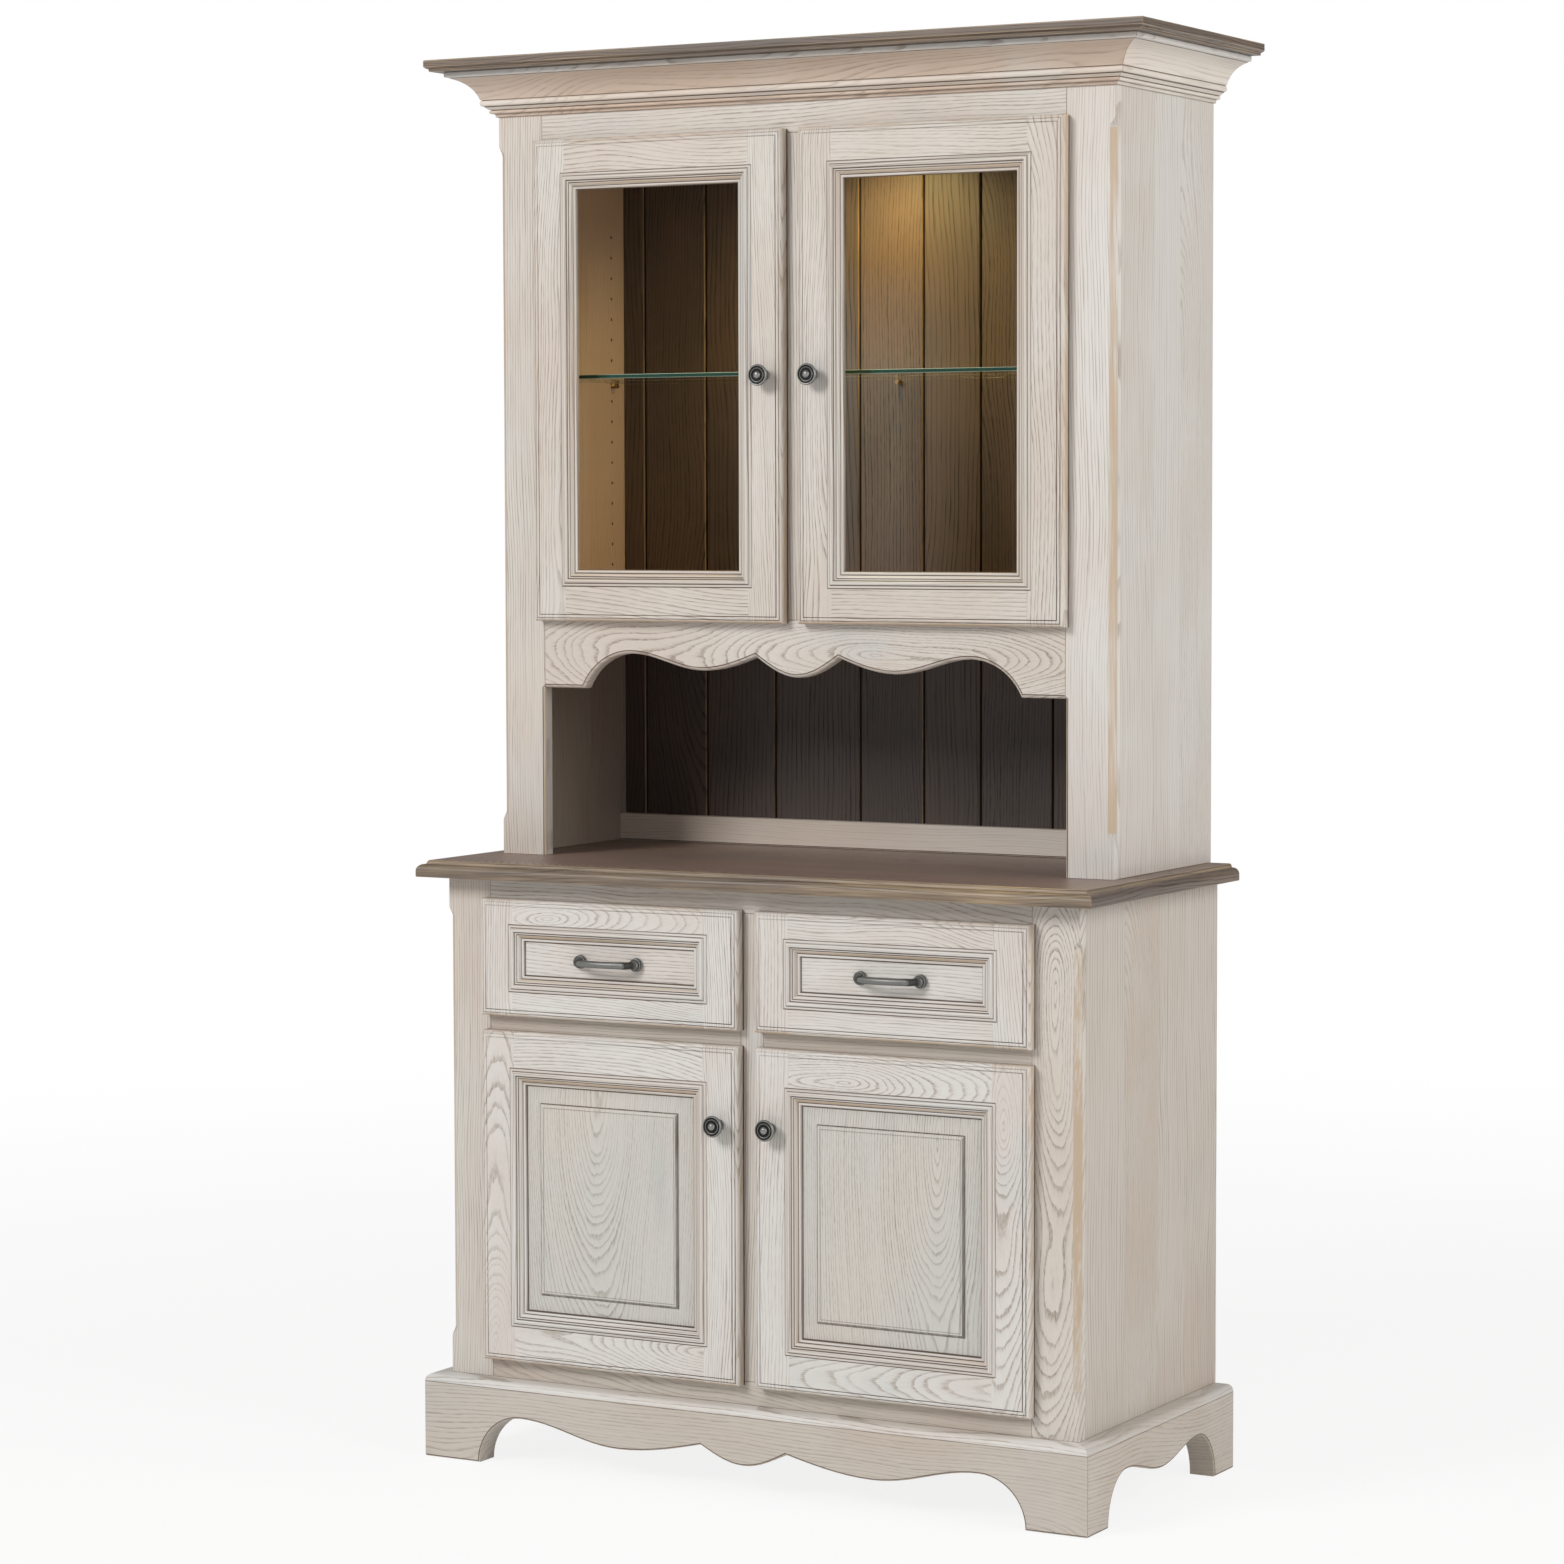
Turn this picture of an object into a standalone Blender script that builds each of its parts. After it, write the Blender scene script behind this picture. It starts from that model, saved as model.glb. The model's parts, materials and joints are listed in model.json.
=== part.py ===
"""A two-piece china cabinet: a base with two drawers over two doors, and a hutch with two glass doors.

Metres, +Z up, the front faces -Y. The origin is on the floor, in the middle of the footprint.
Depths are measured forward from the back plane, and heights up from the floor.
"""

import math

import bmesh
import bpy
from mathutils import Vector

# Clearances
GAP = 0.0003
FRONT_GAP = 0.0006
DRAWER_PLAY = 0.0006
GUIDE_PLAY = 0.0008

# Boards
BOARD = 0.019
FRAME_THICK = 0.020
BACK_PANEL = 0.0095
BACK_BOARDS = 0.012

# Plinth
PLINTH_SIDE_OUT = 0.029
PLINTH_FRONT_OUT = 0.0322
PLINTH_HEIGHT = 0.1255
PLINTH_THICK = 0.040
PLINTH_ROUND = 0.010
PLINTH_BACK_THICK = 0.020
PLINTH_BACK_CLEAR = 0.050
PLINTH_BACK_LEG = 0.020
FOOT_WIDTH_FRONT = 0.097
FOOT_WIDTH_SIDE = 0.069
ARCH_WIDTH_FRONT = 0.073
ARCH_WIDTH_SIDE = 0.061
ARCH_HEIGHT = 0.0725
APRON_DROP_X = 0.213
APRON_DROP_Z = 0.0448
APRON_CUSP_X = 0.071
APRON_CUSP_Z = 0.0666
APRON_CENTRE_Z = 0.0427
SIDE_DROP_Z = 0.0508

# Base carcass and face frame
BASE_WIDTH = 1.046
BASE_DEPTH = 0.4748
BASE_HEIGHT = 0.7524
BASE_STILE = 0.0732
BASE_CENTRE_STILE = 0.037
BASE_TOP_RAIL = 0.0339
BASE_MIDDLE_RAIL = 0.0325
BASE_BOTTOM_RAIL = 0.0345
DRAWER_OPENING = 0.165
BASE_SHELF_DEPTH = 0.360
BASE_SHELF_RISE = 0.255
CHAMFER = 0.0095
CHAMFER_STOP = 0.016
BASE_CHAMFER_FOOT = 0.054
BASE_CHAMFER_HEAD = 0.045

# Countertop
COUNTER_SIDE_OUT = 0.0352
COUNTER_FRONT_OUT = 0.0382
COUNTER_THICK = 0.0248
COUNTER_NOSE = 0.0095

# Hutch
HUTCH_SIDE_IN = 0.0109
HUTCH_DEPTH = 0.3404
HUTCH_HEIGHT = 1.1803
HUTCH_STILE = 0.0761
HUTCH_CENTRE_STILE = 0.036
HUTCH_TOP_RAIL = 0.1095
NICHE_HEIGHT = 0.2548
VALANCE_HEIGHT = 0.1065
VALANCE_FLAT = 0.0705
VALANCE_ARCH_X = 0.284
VALANCE_ARCH_RISE = 0.0532
VALANCE_DROP_X = 0.161
VALANCE_DROP_RISE = 0.0298
VALANCE_CUSP_X = 0.070
VALANCE_CUSP_RISE = 0.0518
VALANCE_CENTRE_RISE = 0.0220
HUTCH_CHAMFER_FOOT = 0.050
HUTCH_CHAMFER_HEAD = 0.108
CEILING_DROP = 0.064
BACK_RAIL_HEIGHT = 0.042
GROOVE_WIDTH = 0.006
GROOVE_DEPTH = 0.004
PLANK_WIDTHS = (0.0385, 0.111, 0.123, 0.150, 0.110, 0.097, 0.121, 0.113)

# Cornice and crown moulding
CORNICE_SIDE = 0.080
CORNICE_FRONT = 0.085
CORNICE_THICK = 0.017
CORNICE_STEP = 0.006
CROWN_OUT = 0.0595
CROWN_HEIGHT = 0.0654

# Doors and drawer fronts
FRONT_THICK = 0.020
OVERLAY = 0.005
EDGE_LEDGE = 0.0015
EDGE_ROUND = 0.0055
EDGE_HEIGHT = 0.0135
MOULD_WIDTH = 0.025
MOULD_BEAD = 0.008
MOULD_LIP = 0.0075
DRAWER_STILE = 0.0505
DRAWER_RAIL = 0.0375
DRAWER_PANEL = 0.012
BASE_DOOR_STILE = 0.052
BASE_DOOR_RAIL = 0.0545
HUTCH_DOOR_STILE = 0.0505
HUTCH_DOOR_HEAD = 0.051
HUTCH_DOOR_FOOT = 0.0525
SLOT_DEPTH = 0.009
PANEL_TONGUE = 0.006
PANEL_PLAY = 0.001
PANEL_BEVEL = 0.0265
PANEL_EDGE = 0.0160
PANEL_FIELD = 0.0180
GLASS = 0.004
GLASS_BACK = 0.0054

# Drawer boxes
DRAWER_SIDE = 0.012
DRAWER_BOTTOM = 0.008
DRAWER_HEIGHT = 0.118
DRAWER_SIDE_PLAY = 0.003
DRAWER_REAR = 0.055
DECK_THICK = 0.012
GUIDE_HEIGHT = 0.012
GUIDE_WIDTH = 0.026

# Glass shelf, its pins and the lamp
SHELF_RISE = 0.7198
SHELF_GLASS = 0.006
SHELF_SET_BACK = 0.010
SHELF_SIDE_PLAY = 0.0015
PIN_RADIUS = 0.0035
PIN_LENGTH = 0.012
PIN_INSET = 0.037
LAMP_RADIUS = 0.035
LAMP_THICK = 0.012

# Knobs, pulls and hinges
KNOB_RADIUS = 0.0158
KNOB_REACH = 0.0266
KNOB_SEGMENTS = 24
BASE_KNOB_X = 0.0433
BASE_KNOB_Z = 0.5365
HUTCH_KNOB_X = 0.0408
HUTCH_KNOB_Z = 1.6215
PULL_SPACING = 0.096
PULL_RADIUS = 0.0053
PULL_FOOT_RADIUS = 0.0103
PULL_REACH = 0.0285
PULL_RISE = 0.0045
HINGE_CUP_RADIUS = 0.0175
HINGE_CUP_DEPTH = 0.012
HINGE_CUP_INSET = 0.0215
HINGE_ARM_HEIGHT = 0.014
HINGE_PLATE = 0.002
HINGE_PLATE_LENGTH = 0.026
HINGE_TONGUE_NEAR = 0.0135
HINGE_TONGUE_FAR = 0.026
HINGE_TONGUE_CLEAR = 0.003
HINGE_BRIDGE = 0.003
BASE_HINGE_INSET = 0.075
HUTCH_HINGE_INSET = 0.100

# Sizes and levels that follow from those above
PLINTH_WIDTH = BASE_WIDTH + 2 * PLINTH_SIDE_OUT
PLINTH_DEPTH = BASE_DEPTH + PLINTH_FRONT_OUT
COUNTER_WIDTH = BASE_WIDTH + 2 * COUNTER_SIDE_OUT
COUNTER_DEPTH = BASE_DEPTH + COUNTER_FRONT_OUT
HUTCH_WIDTH = BASE_WIDTH - 2 * HUTCH_SIDE_IN
BASE_TOP = PLINTH_HEIGHT + BASE_HEIGHT
COUNTER_TOP = BASE_TOP + COUNTER_THICK
HUTCH_TOP = COUNTER_TOP + HUTCH_HEIGHT
TOP_RAIL_LOW = BASE_TOP - BASE_TOP_RAIL
MIDDLE_RAIL_HIGH = TOP_RAIL_LOW - DRAWER_OPENING
MIDDLE_RAIL_LOW = MIDDLE_RAIL_HIGH - BASE_MIDDLE_RAIL
BOTTOM_RAIL_HIGH = PLINTH_HEIGHT + BASE_BOTTOM_RAIL
VALANCE_LOW = COUNTER_TOP + NICHE_HEIGHT
HUTCH_FLOOR_TOP = VALANCE_LOW + VALANCE_HEIGHT
HUTCH_OPENING_TOP = HUTCH_TOP - HUTCH_TOP_RAIL
BASE_OPENING_OUT = BASE_WIDTH / 2 - BASE_STILE
BASE_OPENING_IN = BASE_CENTRE_STILE / 2
HUTCH_OPENING_OUT = HUTCH_WIDTH / 2 - HUTCH_STILE
HUTCH_OPENING_IN = HUTCH_CENTRE_STILE / 2
FRONT_PLANE = BASE_DEPTH + FRONT_GAP
HUTCH_FRONT_PLANE = HUTCH_DEPTH + FRONT_GAP
KNOB_FRONT = FRONT_PLANE + FRONT_THICK + KNOB_REACH
PULL_FRONT = FRONT_PLANE + DRAWER_PANEL + GAP + PULL_REACH + PULL_RISE
OVERALL_DEPTH = max(COUNTER_DEPTH, PLINTH_DEPTH, KNOB_FRONT, PULL_FRONT)
BACK = OVERALL_DEPTH / 2


def material(name, colour, roughness, metallic=0.0, transmission=0.0):
    made = bpy.data.materials.new(name)
    made.use_nodes = True
    shader = made.node_tree.nodes["Principled BSDF"]
    shader.inputs["Base Color"].default_value = (*colour, 1.0)
    shader.inputs["Roughness"].default_value = roughness
    shader.inputs["Metallic"].default_value = metallic
    shader.inputs["Transmission Weight"].default_value = transmission
    made.diffuse_color = (*colour, 1.0)
    return made


def at(depth):
    """The y of a plane this far in front of the back plane."""
    return BACK - depth


def add(name, bm, finish, parent=None, smooth=False):
    """Makes the bmesh, drawn in world coordinates, one named object under its joint's empty."""
    bmesh.ops.recalc_face_normals(bm, faces=bm.faces)
    if parent is not None:
        bmesh.ops.translate(bm, verts=bm.verts, vec=-parent.location)
    mesh = bpy.data.meshes.new(name)
    bm.to_mesh(mesh)
    bm.free()
    if smooth:
        mesh.shade_smooth()
        mesh.set_sharp_from_angle(angle=math.radians(35))
    mesh.materials.append(finish)
    piece = bpy.data.objects.new(name, mesh)
    piece.parent = parent
    bpy.context.collection.objects.link(piece)
    return piece


def joint_empty(name, place):
    empty = bpy.data.objects.new(name, None)
    empty.location = place
    bpy.context.collection.objects.link(empty)
    return empty


def helper_shape(piece):
    """A shape that only cuts or joins another one."""
    piece.hide_render = True
    piece.display_type = "WIRE"
    return piece


def combine(piece, others, operation):
    for other in others:
        modifier = piece.modifiers.new(other.name, "BOOLEAN")
        modifier.operation = operation
        modifier.solver = "EXACT"
        modifier.object = helper_shape(other)


def extrude_through(rings, closed=False):
    """A mesh whose first ring is extruded through the others; it is capped, or closed on itself."""
    bm = bmesh.new()
    ring = [bm.verts.new(point) for point in rings[0]]
    count = len(ring)
    first = [bm.edges.new((ring[i], ring[(i + 1) % count])) for i in range(count)]
    edges = first
    if not closed:
        bmesh.ops.contextual_create(bm, geom=edges)
    for points in rings[1:] + ([rings[0]] if closed else []):
        grown = bmesh.ops.extrude_edge_only(bm, edges=edges)["geom"]
        new = {item for item in grown if isinstance(item, bmesh.types.BMVert)}
        ring = [next(e.other_vert(v) for e in v.link_edges if e.other_vert(v) in new) for v in ring]
        for vertex, point in zip(ring, points):
            vertex.co = point
        edges = [item for item in grown if isinstance(item, bmesh.types.BMEdge)]
        edges = [e for e in edges if e.verts[0] in new and e.verts[1] in new]
    if closed:
        bmesh.ops.remove_doubles(bm, verts=bm.verts, dist=1e-6)
    else:
        bmesh.ops.contextual_create(bm, geom=edges)
    return bm


def block(x0, x1, depth0, depth1, z0, z1):
    """A board between two x, two depths and two heights."""
    corners = ((x0, depth0), (x1, depth0), (x1, depth1), (x0, depth1))
    return extrude_through([[(x, at(d), z) for x, d in corners] for z in (z0, z1)])


def front_outline(points, depth0, depth1):
    """An outline of x and z, given thickness between two depths."""
    return extrude_through([[(x, at(d), z) for x, z in points] for d in (depth0, depth1)])


def plan_outline(points, z0, z1):
    """An outline of x and depth, given height."""
    return extrude_through([[(x, at(d), z) for x, d in points] for z in (z0, z1)])


def turned(profile, centre, steps):
    """A solid turned about an axis that points forward, from radius and reach."""
    bm = bmesh.new()
    x, depth, z = centre
    line = [bm.verts.new((x + radius, at(depth + reach), z)) for radius, reach in profile]
    edges = [bm.edges.new(pair) for pair in zip(line, line[1:])]
    bmesh.ops.spin(
        bm, geom=line + edges, cent=(x, at(depth), z), axis=(0, 1, 0),
        angle=math.tau, steps=steps, use_merge=True,
    )
    bmesh.ops.remove_doubles(bm, verts=bm.verts, dist=1e-6)
    return bm


def cylinder(radius, centre, axis, length, steps):
    """A plain round bar from centre along axis."""
    bm = bmesh.new()
    bmesh.ops.create_cone(
        bm, cap_ends=True, segments=steps, radius1=radius, radius2=radius, depth=length,
    )
    turn = Vector((0, 0, 1)).rotation_difference(Vector(axis)).to_matrix()
    bmesh.ops.rotate(bm, verts=bm.verts, cent=(0, 0, 0), matrix=turn)
    bmesh.ops.translate(bm, verts=bm.verts, vec=Vector(centre) + Vector(axis) * length / 2)
    return bm


def arc(centre, radius_across, radius_up, start, end, steps):
    """Points on an ellipse between two angles in degrees."""
    angles = [math.radians(start + (end - start) * i / steps) for i in range(steps + 1)]
    return [
        (centre[0] + radius_across * math.cos(a), centre[1] + radius_up * math.sin(a))
        for a in angles
    ]


def bow(start, end, rise, steps):
    """Points on the circular arc from start to end whose middle stands rise to the left of them."""
    chord = Vector(end) - Vector(start)
    half = chord.length / 2
    radius = (half * half + rise * rise) / (2 * rise)
    left = Vector((-chord.y, chord.x)).normalized()
    middle = (Vector(start) + Vector(end)) / 2 + left * (rise - radius)
    spread = math.asin(half / radius)
    spokes = [spread * (1 - 2 * i / steps) for i in range(steps + 1)]
    along = chord.normalized()
    return [tuple(middle + left * radius * math.cos(a) - along * radius * math.sin(a)) for a in spokes]


def wave(start, end, steps):
    """Points on the S-shaped line from start to end, level at both."""
    points = []
    for i in range(steps + 1):
        share = i / steps
        height = (1 - math.cos(math.pi * share)) / 2
        points.append((start[0] + (end[0] - start[0]) * share, start[1] + (end[1] - start[1]) * height))
    return points


def dip(low, cusp, steps):
    """Points from a level low place up to the sharp cusp beside it."""
    points = []
    for i in range(steps + 1):
        share = i / steps
        height = 1 - math.cos(math.pi / 2 * share)
        points.append((low[0] + (cusp[0] - low[0]) * share, low[1] + (cusp[1] - low[1]) * height))
    return points


def both_ways(half):
    """A half outline that ends at x = 0, mirrored to the other side."""
    return half + [(-x, z) for x, z in reversed(half[:-1])]


def joined(*stretches):
    """Stretches of an outline end to end, each shared point kept once."""
    points = list(stretches[0])
    for stretch in stretches[1:]:
        points += stretch[1:]
    return points


def rectangle(rect, inset, depth):
    """The four corners of a front rectangle drawn in by inset, at a depth."""
    x0, x1, z0, z1 = rect
    y = at(depth)
    return [
        (x0 + inset, y, z0 + inset), (x1 - inset, y, z0 + inset),
        (x1 - inset, y, z1 - inset), (x0 + inset, y, z1 - inset),
    ]


def shrunk(rect, left, right, low, high):
    x0, x1, z0, z1 = rect
    return (x0 + left, x1 - right, z0 + low, z1 - high)


def sided(side, near, far):
    """The x range from near to far of the centre, on the side -1 or 1."""
    return (near, far) if side > 0 else (-far, -near)


def front_rect(side, opening_in, opening_out, low, high):
    x0, x1 = sided(side, opening_in - OVERLAY, opening_out + OVERLAY)
    return (x0, x1, low - OVERLAY, high + OVERLAY)


def edge_profile():
    """The outer edge of a door or drawer front, from its back to its face: inset and height."""
    round_centre = (EDGE_LEDGE + EDGE_ROUND, EDGE_HEIGHT)
    nose = arc(round_centre, EDGE_ROUND, EDGE_ROUND, 180, 90, 5)
    return [(0.0, 0.0), (0.0, EDGE_HEIGHT)] + nose + [(EDGE_LEDGE + EDGE_ROUND, FRONT_THICK)]


def mould_profile():
    """The moulding round a panel, from its outer edge to the panel: inset, and height on the face."""
    bead_half = MOULD_BEAD / 2
    fillet = 0.0012
    bead = arc((bead_half, 0.0028), bead_half, 0.0022, 180, 0, 6)
    cove_start = MOULD_BEAD + fillet
    cove_end = MOULD_WIDTH - 0.005
    cove = arc((cove_end, fillet), cove_end - cove_start, 0.0060, 180, 270, 5)
    sight = arc((MOULD_WIDTH - 0.0025, -0.0050), 0.0025, 0.0018, 180, 0, 4)
    return [(0.0, 0.0)] + bead + [(MOULD_BEAD, fillet)] + cove + sight


def chamfered_stile(x_out, x_in, depth, z0, z1, chamfer_low, chamfer_high):
    """A stile whose outer front corner has a chamfer that dies away at each end."""
    side = 1 if x_out > 0 else -1
    rear = depth - FRAME_THICK
    least = 0.0004
    stations = [(z0, least)]
    steps = 6
    for i in range(steps + 1):
        share = i / steps
        swell = (1 - math.cos(math.pi * share)) / 2
        stations.append((chamfer_low + CHAMFER_STOP * share, least + (CHAMFER - least) * swell))
    mirrored = [(chamfer_high - (z - chamfer_low), cut) for z, cut in reversed(stations[1:])]
    stations += mirrored + [(z1, least)]
    rings = []
    for z, cut in stations:
        outline = (
            (x_in, depth), (x_out - side * cut, depth), (x_out, depth - cut), (x_out, rear), (x_in, rear),
        )
        rings.append([(x, at(d), z) for x, d in outline])
    return extrude_through(rings)


def slab(width, depth, profile):
    """A board with a moulded edge on its front and two sides: inset and height from below."""
    rings = []
    for inset, z in profile:
        half = width / 2 - inset
        rings.append([
            (-half, at(0), z), (half, at(0), z), (half, at(depth - inset), z), (-half, at(depth - inset), z),
        ])
    return extrude_through(rings)


# Plinth


def apron_outline(half_width):
    """The front apron seen from the front, its lower edge scrolled."""
    foot = half_width - FOOT_WIDTH_FRONT
    arch_top = (foot - ARCH_WIDTH_FRONT, ARCH_HEIGHT)
    drop = (APRON_DROP_X, APRON_DROP_Z)
    cusp = (APRON_CUSP_X, APRON_CUSP_Z)
    half = joined(
        arc((arch_top[0], 0.0), ARCH_WIDTH_FRONT, ARCH_HEIGHT, 0, 90, 12),
        wave(arch_top, drop, 12),
        dip(drop, cusp, 7),
        list(reversed(dip((0.0, APRON_CENTRE_Z), cusp, 7))),
    )
    return both_ways([(half_width, PLINTH_HEIGHT), (half_width, 0.0)] + half)


def round_top_edge(bm, on_edge):
    edges = [
        e for e in bm.edges
        if all(abs(v.co.z - PLINTH_HEIGHT) < 1e-6 and on_edge(v.co) for v in e.verts)
    ]
    bmesh.ops.bevel(
        bm, geom=edges, offset=PLINTH_ROUND, segments=6, profile=0.5, affect="EDGES", material=-1,
    )


def plinth(wood):
    half = PLINTH_WIDTH / 2
    outer = apron_outline(half - GAP)
    inner = [
        (math.copysign(half - GAP - PLINTH_THICK, x) if abs(x) > half - 2 * GAP else x, z)
        for x, z in outer
    ]
    front = extrude_through([
        [(x, at(PLINTH_DEPTH), z) for x, z in outer],
        [(x, at(PLINTH_DEPTH - PLINTH_THICK), z) for x, z in inner],
    ])
    round_top_edge(front, lambda co: abs(co.y - at(PLINTH_DEPTH)) < 1e-6)
    add("plinth_front", front, wood)

    middle = PLINTH_DEPTH / 2
    foot = middle - FOOT_WIDTH_SIDE
    arch_top = (foot - ARCH_WIDTH_SIDE, ARCH_HEIGHT)
    lower = both_ways(joined(
        arc((arch_top[0], 0.0), ARCH_WIDTH_SIDE, ARCH_HEIGHT, 0, 90, 11),
        wave(arch_top, (0.0, SIDE_DROP_Z), 11),
    ))
    lower = [(x + middle, z) for x, z in lower]
    for name, side in (("plinth_side_left", -1), ("plinth_side_right", 1)):
        rings = []
        for x, front_end in ((half, PLINTH_DEPTH), (half - PLINTH_THICK, PLINTH_DEPTH - PLINTH_THICK)):
            outline = [(front_end, PLINTH_HEIGHT), (front_end, 0.0)] + lower + [(0.0, 0.0), (0.0, PLINTH_HEIGHT)]
            rings.append([(side * x, at(d), z) for d, z in outline])
        bm = extrude_through(rings)
        round_top_edge(bm, lambda co, s=side: abs(co.x - s * half) < 1e-6)
        add(name, bm, wood)

    end = half - PLINTH_THICK - GAP
    leg = end - PLINTH_BACK_LEG
    rail = [
        (-end, 0.0), (-leg, 0.0), (-leg, PLINTH_BACK_CLEAR), (leg, PLINTH_BACK_CLEAR),
        (leg, 0.0), (end, 0.0), (end, PLINTH_HEIGHT), (-end, PLINTH_HEIGHT),
    ]
    add("plinth_back", front_outline(rail, 0.0, PLINTH_BACK_THICK), wood)


# Base carcass


def base_carcass(wood, inside):
    half = BASE_WIDTH / 2
    low = PLINTH_HEIGHT + GAP
    high = BASE_TOP - GAP
    frame_back = BASE_DEPTH - FRAME_THICK
    inner = half - BOARD
    for name, side in (("base_side_left", -1), ("base_side_right", 1)):
        x0, x1 = sided(side, inner, half)
        add(name, block(x0, x1, 0.0, frame_back - GAP, low, high), wood)
    fit = inner - GAP
    add("base_back", block(-fit, fit, 0.0, BACK_PANEL, low, high), inside)
    behind = BACK_PANEL + GAP
    floor_high = low + BOARD
    add("base_floor", block(-fit, fit, behind, frame_back - GAP, low, floor_high), inside)
    shelf_low = floor_high + BASE_SHELF_RISE
    add("base_shelf", block(-fit, fit, behind, BASE_SHELF_DEPTH, shelf_low, shelf_low + BOARD), inside)

    box_in = BASE_OPENING_IN + DRAWER_SIDE_PLAY
    box_out = BASE_OPENING_OUT - DRAWER_SIDE_PLAY
    deck_high = MIDDLE_RAIL_HIGH - GAP
    deck_low = deck_high - DECK_THICK
    guide_high = deck_high + GUIDE_HEIGHT
    guide_in = box_in - GUIDE_PLAY
    guide_out = box_out + GUIDE_PLAY
    half_deck = [
        (fit, deck_low), (fit, deck_high), (guide_out + GUIDE_WIDTH, deck_high),
        (guide_out + GUIDE_WIDTH, guide_high), (guide_out, guide_high), (guide_out, deck_high),
        (guide_in, deck_high), (guide_in, guide_high),
    ]
    outline = half_deck + [(-x, z) for x, z in reversed(half_deck)]
    add("drawer_deck", front_outline(outline, behind, frame_back - GAP), inside)


def base_frame(wood):
    half = BASE_WIDTH / 2
    low = PLINTH_HEIGHT + GAP
    high = BASE_TOP - GAP
    for name, side in (("base_stile_left", -1), ("base_stile_right", 1)):
        stile = chamfered_stile(
            side * half, side * BASE_OPENING_OUT, BASE_DEPTH, low, high,
            PLINTH_HEIGHT + BASE_CHAMFER_FOOT, BASE_TOP - BASE_CHAMFER_HEAD,
        )
        add(name, stile, wood)
    rear = BASE_DEPTH - FRAME_THICK
    fit = BASE_OPENING_OUT - GAP
    add("base_top_rail", block(-fit, fit, rear, BASE_DEPTH, TOP_RAIL_LOW, high), wood)
    add("base_bottom_rail", block(-fit, fit, rear, BASE_DEPTH, low, BOTTOM_RAIL_HIGH), wood)

    lap = FRAME_THICK / 2
    cross = BASE_OPENING_IN + GAP
    rail = [
        (-fit, rear), (fit, rear), (fit, BASE_DEPTH), (cross, BASE_DEPTH),
        (cross, rear + lap), (-cross, rear + lap), (-cross, BASE_DEPTH), (-fit, BASE_DEPTH),
    ]
    add("base_middle_rail", plan_outline(rail, MIDDLE_RAIL_LOW, MIDDLE_RAIL_HIGH), wood)
    lap_face = rear + lap + GAP
    stile_outline = [
        (rear, BOTTOM_RAIL_HIGH + GAP), (BASE_DEPTH, BOTTOM_RAIL_HIGH + GAP),
        (BASE_DEPTH, TOP_RAIL_LOW - GAP), (rear, TOP_RAIL_LOW - GAP),
        (rear, MIDDLE_RAIL_HIGH + GAP), (lap_face, MIDDLE_RAIL_HIGH + GAP),
        (lap_face, MIDDLE_RAIL_LOW - GAP), (rear, MIDDLE_RAIL_LOW - GAP),
    ]
    rings = [[(x, at(d), z) for d, z in stile_outline] for x in (-BASE_OPENING_IN, BASE_OPENING_IN)]
    add("base_centre_stile", extrude_through(rings), wood)


def countertop(dark):
    low = BASE_TOP
    ledge = low + 2 * COUNTER_NOSE
    nose = arc((COUNTER_NOSE, low + COUNTER_NOSE), COUNTER_NOSE, COUNTER_NOSE, 180, 90, 7)
    fillet = 0.0025
    shoulder = COUNTER_NOSE + fillet
    profile = [(0.0, low)] + nose + [(shoulder, ledge), (shoulder, ledge + fillet)]
    profile += [(shoulder + fillet, COUNTER_TOP)]
    add("countertop", slab(COUNTER_WIDTH, COUNTER_DEPTH, profile), dark)


# Hutch


def shelf_pins():
    """Where each pin of the glass shelf leaves its board, and the way it points."""
    z = COUNTER_TOP + SHELF_RISE - PIN_RADIUS
    inner = HUTCH_WIDTH / 2 - BOARD
    rear = BACK_BOARDS + PIN_INSET
    front = HUTCH_DEPTH - FRAME_THICK - SHELF_SET_BACK - PIN_INSET
    pins = {"left": [], "right": [], "back": [((0.0, at(BACK_BOARDS), z), (0, -1, 0))]}
    for depth in (rear, front):
        pins["left"].append(((-inner, at(depth), z), (1, 0, 0)))
        pins["right"].append(((inner, at(depth), z), (-1, 0, 0)))
    return pins


def with_pins(piece, pins):
    """Joins each pin to the board it is driven into."""
    driven = 0.004
    made = []
    for number, (place, way) in enumerate(pins, 1):
        start = Vector(place) - Vector(way) * driven
        bar = cylinder(PIN_RADIUS, start, way, PIN_LENGTH + driven, 12)
        made.append(add(f"{piece.name}_pin_{number}", bar, piece.data.materials[0]))
    combine(piece, made, "UNION")


def back_boards_outline(half):
    """Boards of random width, with a V groove where two of them meet."""
    points = [(-half, 0.0), (half, 0.0), (half, BACK_BOARDS)]
    seams = []
    x = -half
    for width in PLANK_WIDTHS:
        x += width
        seams.append(x)
    for seam in reversed([s for s in seams if s < half - GROOVE_WIDTH]):
        points += [
            (seam + GROOVE_WIDTH / 2, BACK_BOARDS), (seam, BACK_BOARDS - GROOVE_DEPTH),
            (seam - GROOVE_WIDTH / 2, BACK_BOARDS),
        ]
    return points + [(-half, BACK_BOARDS)]


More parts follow.
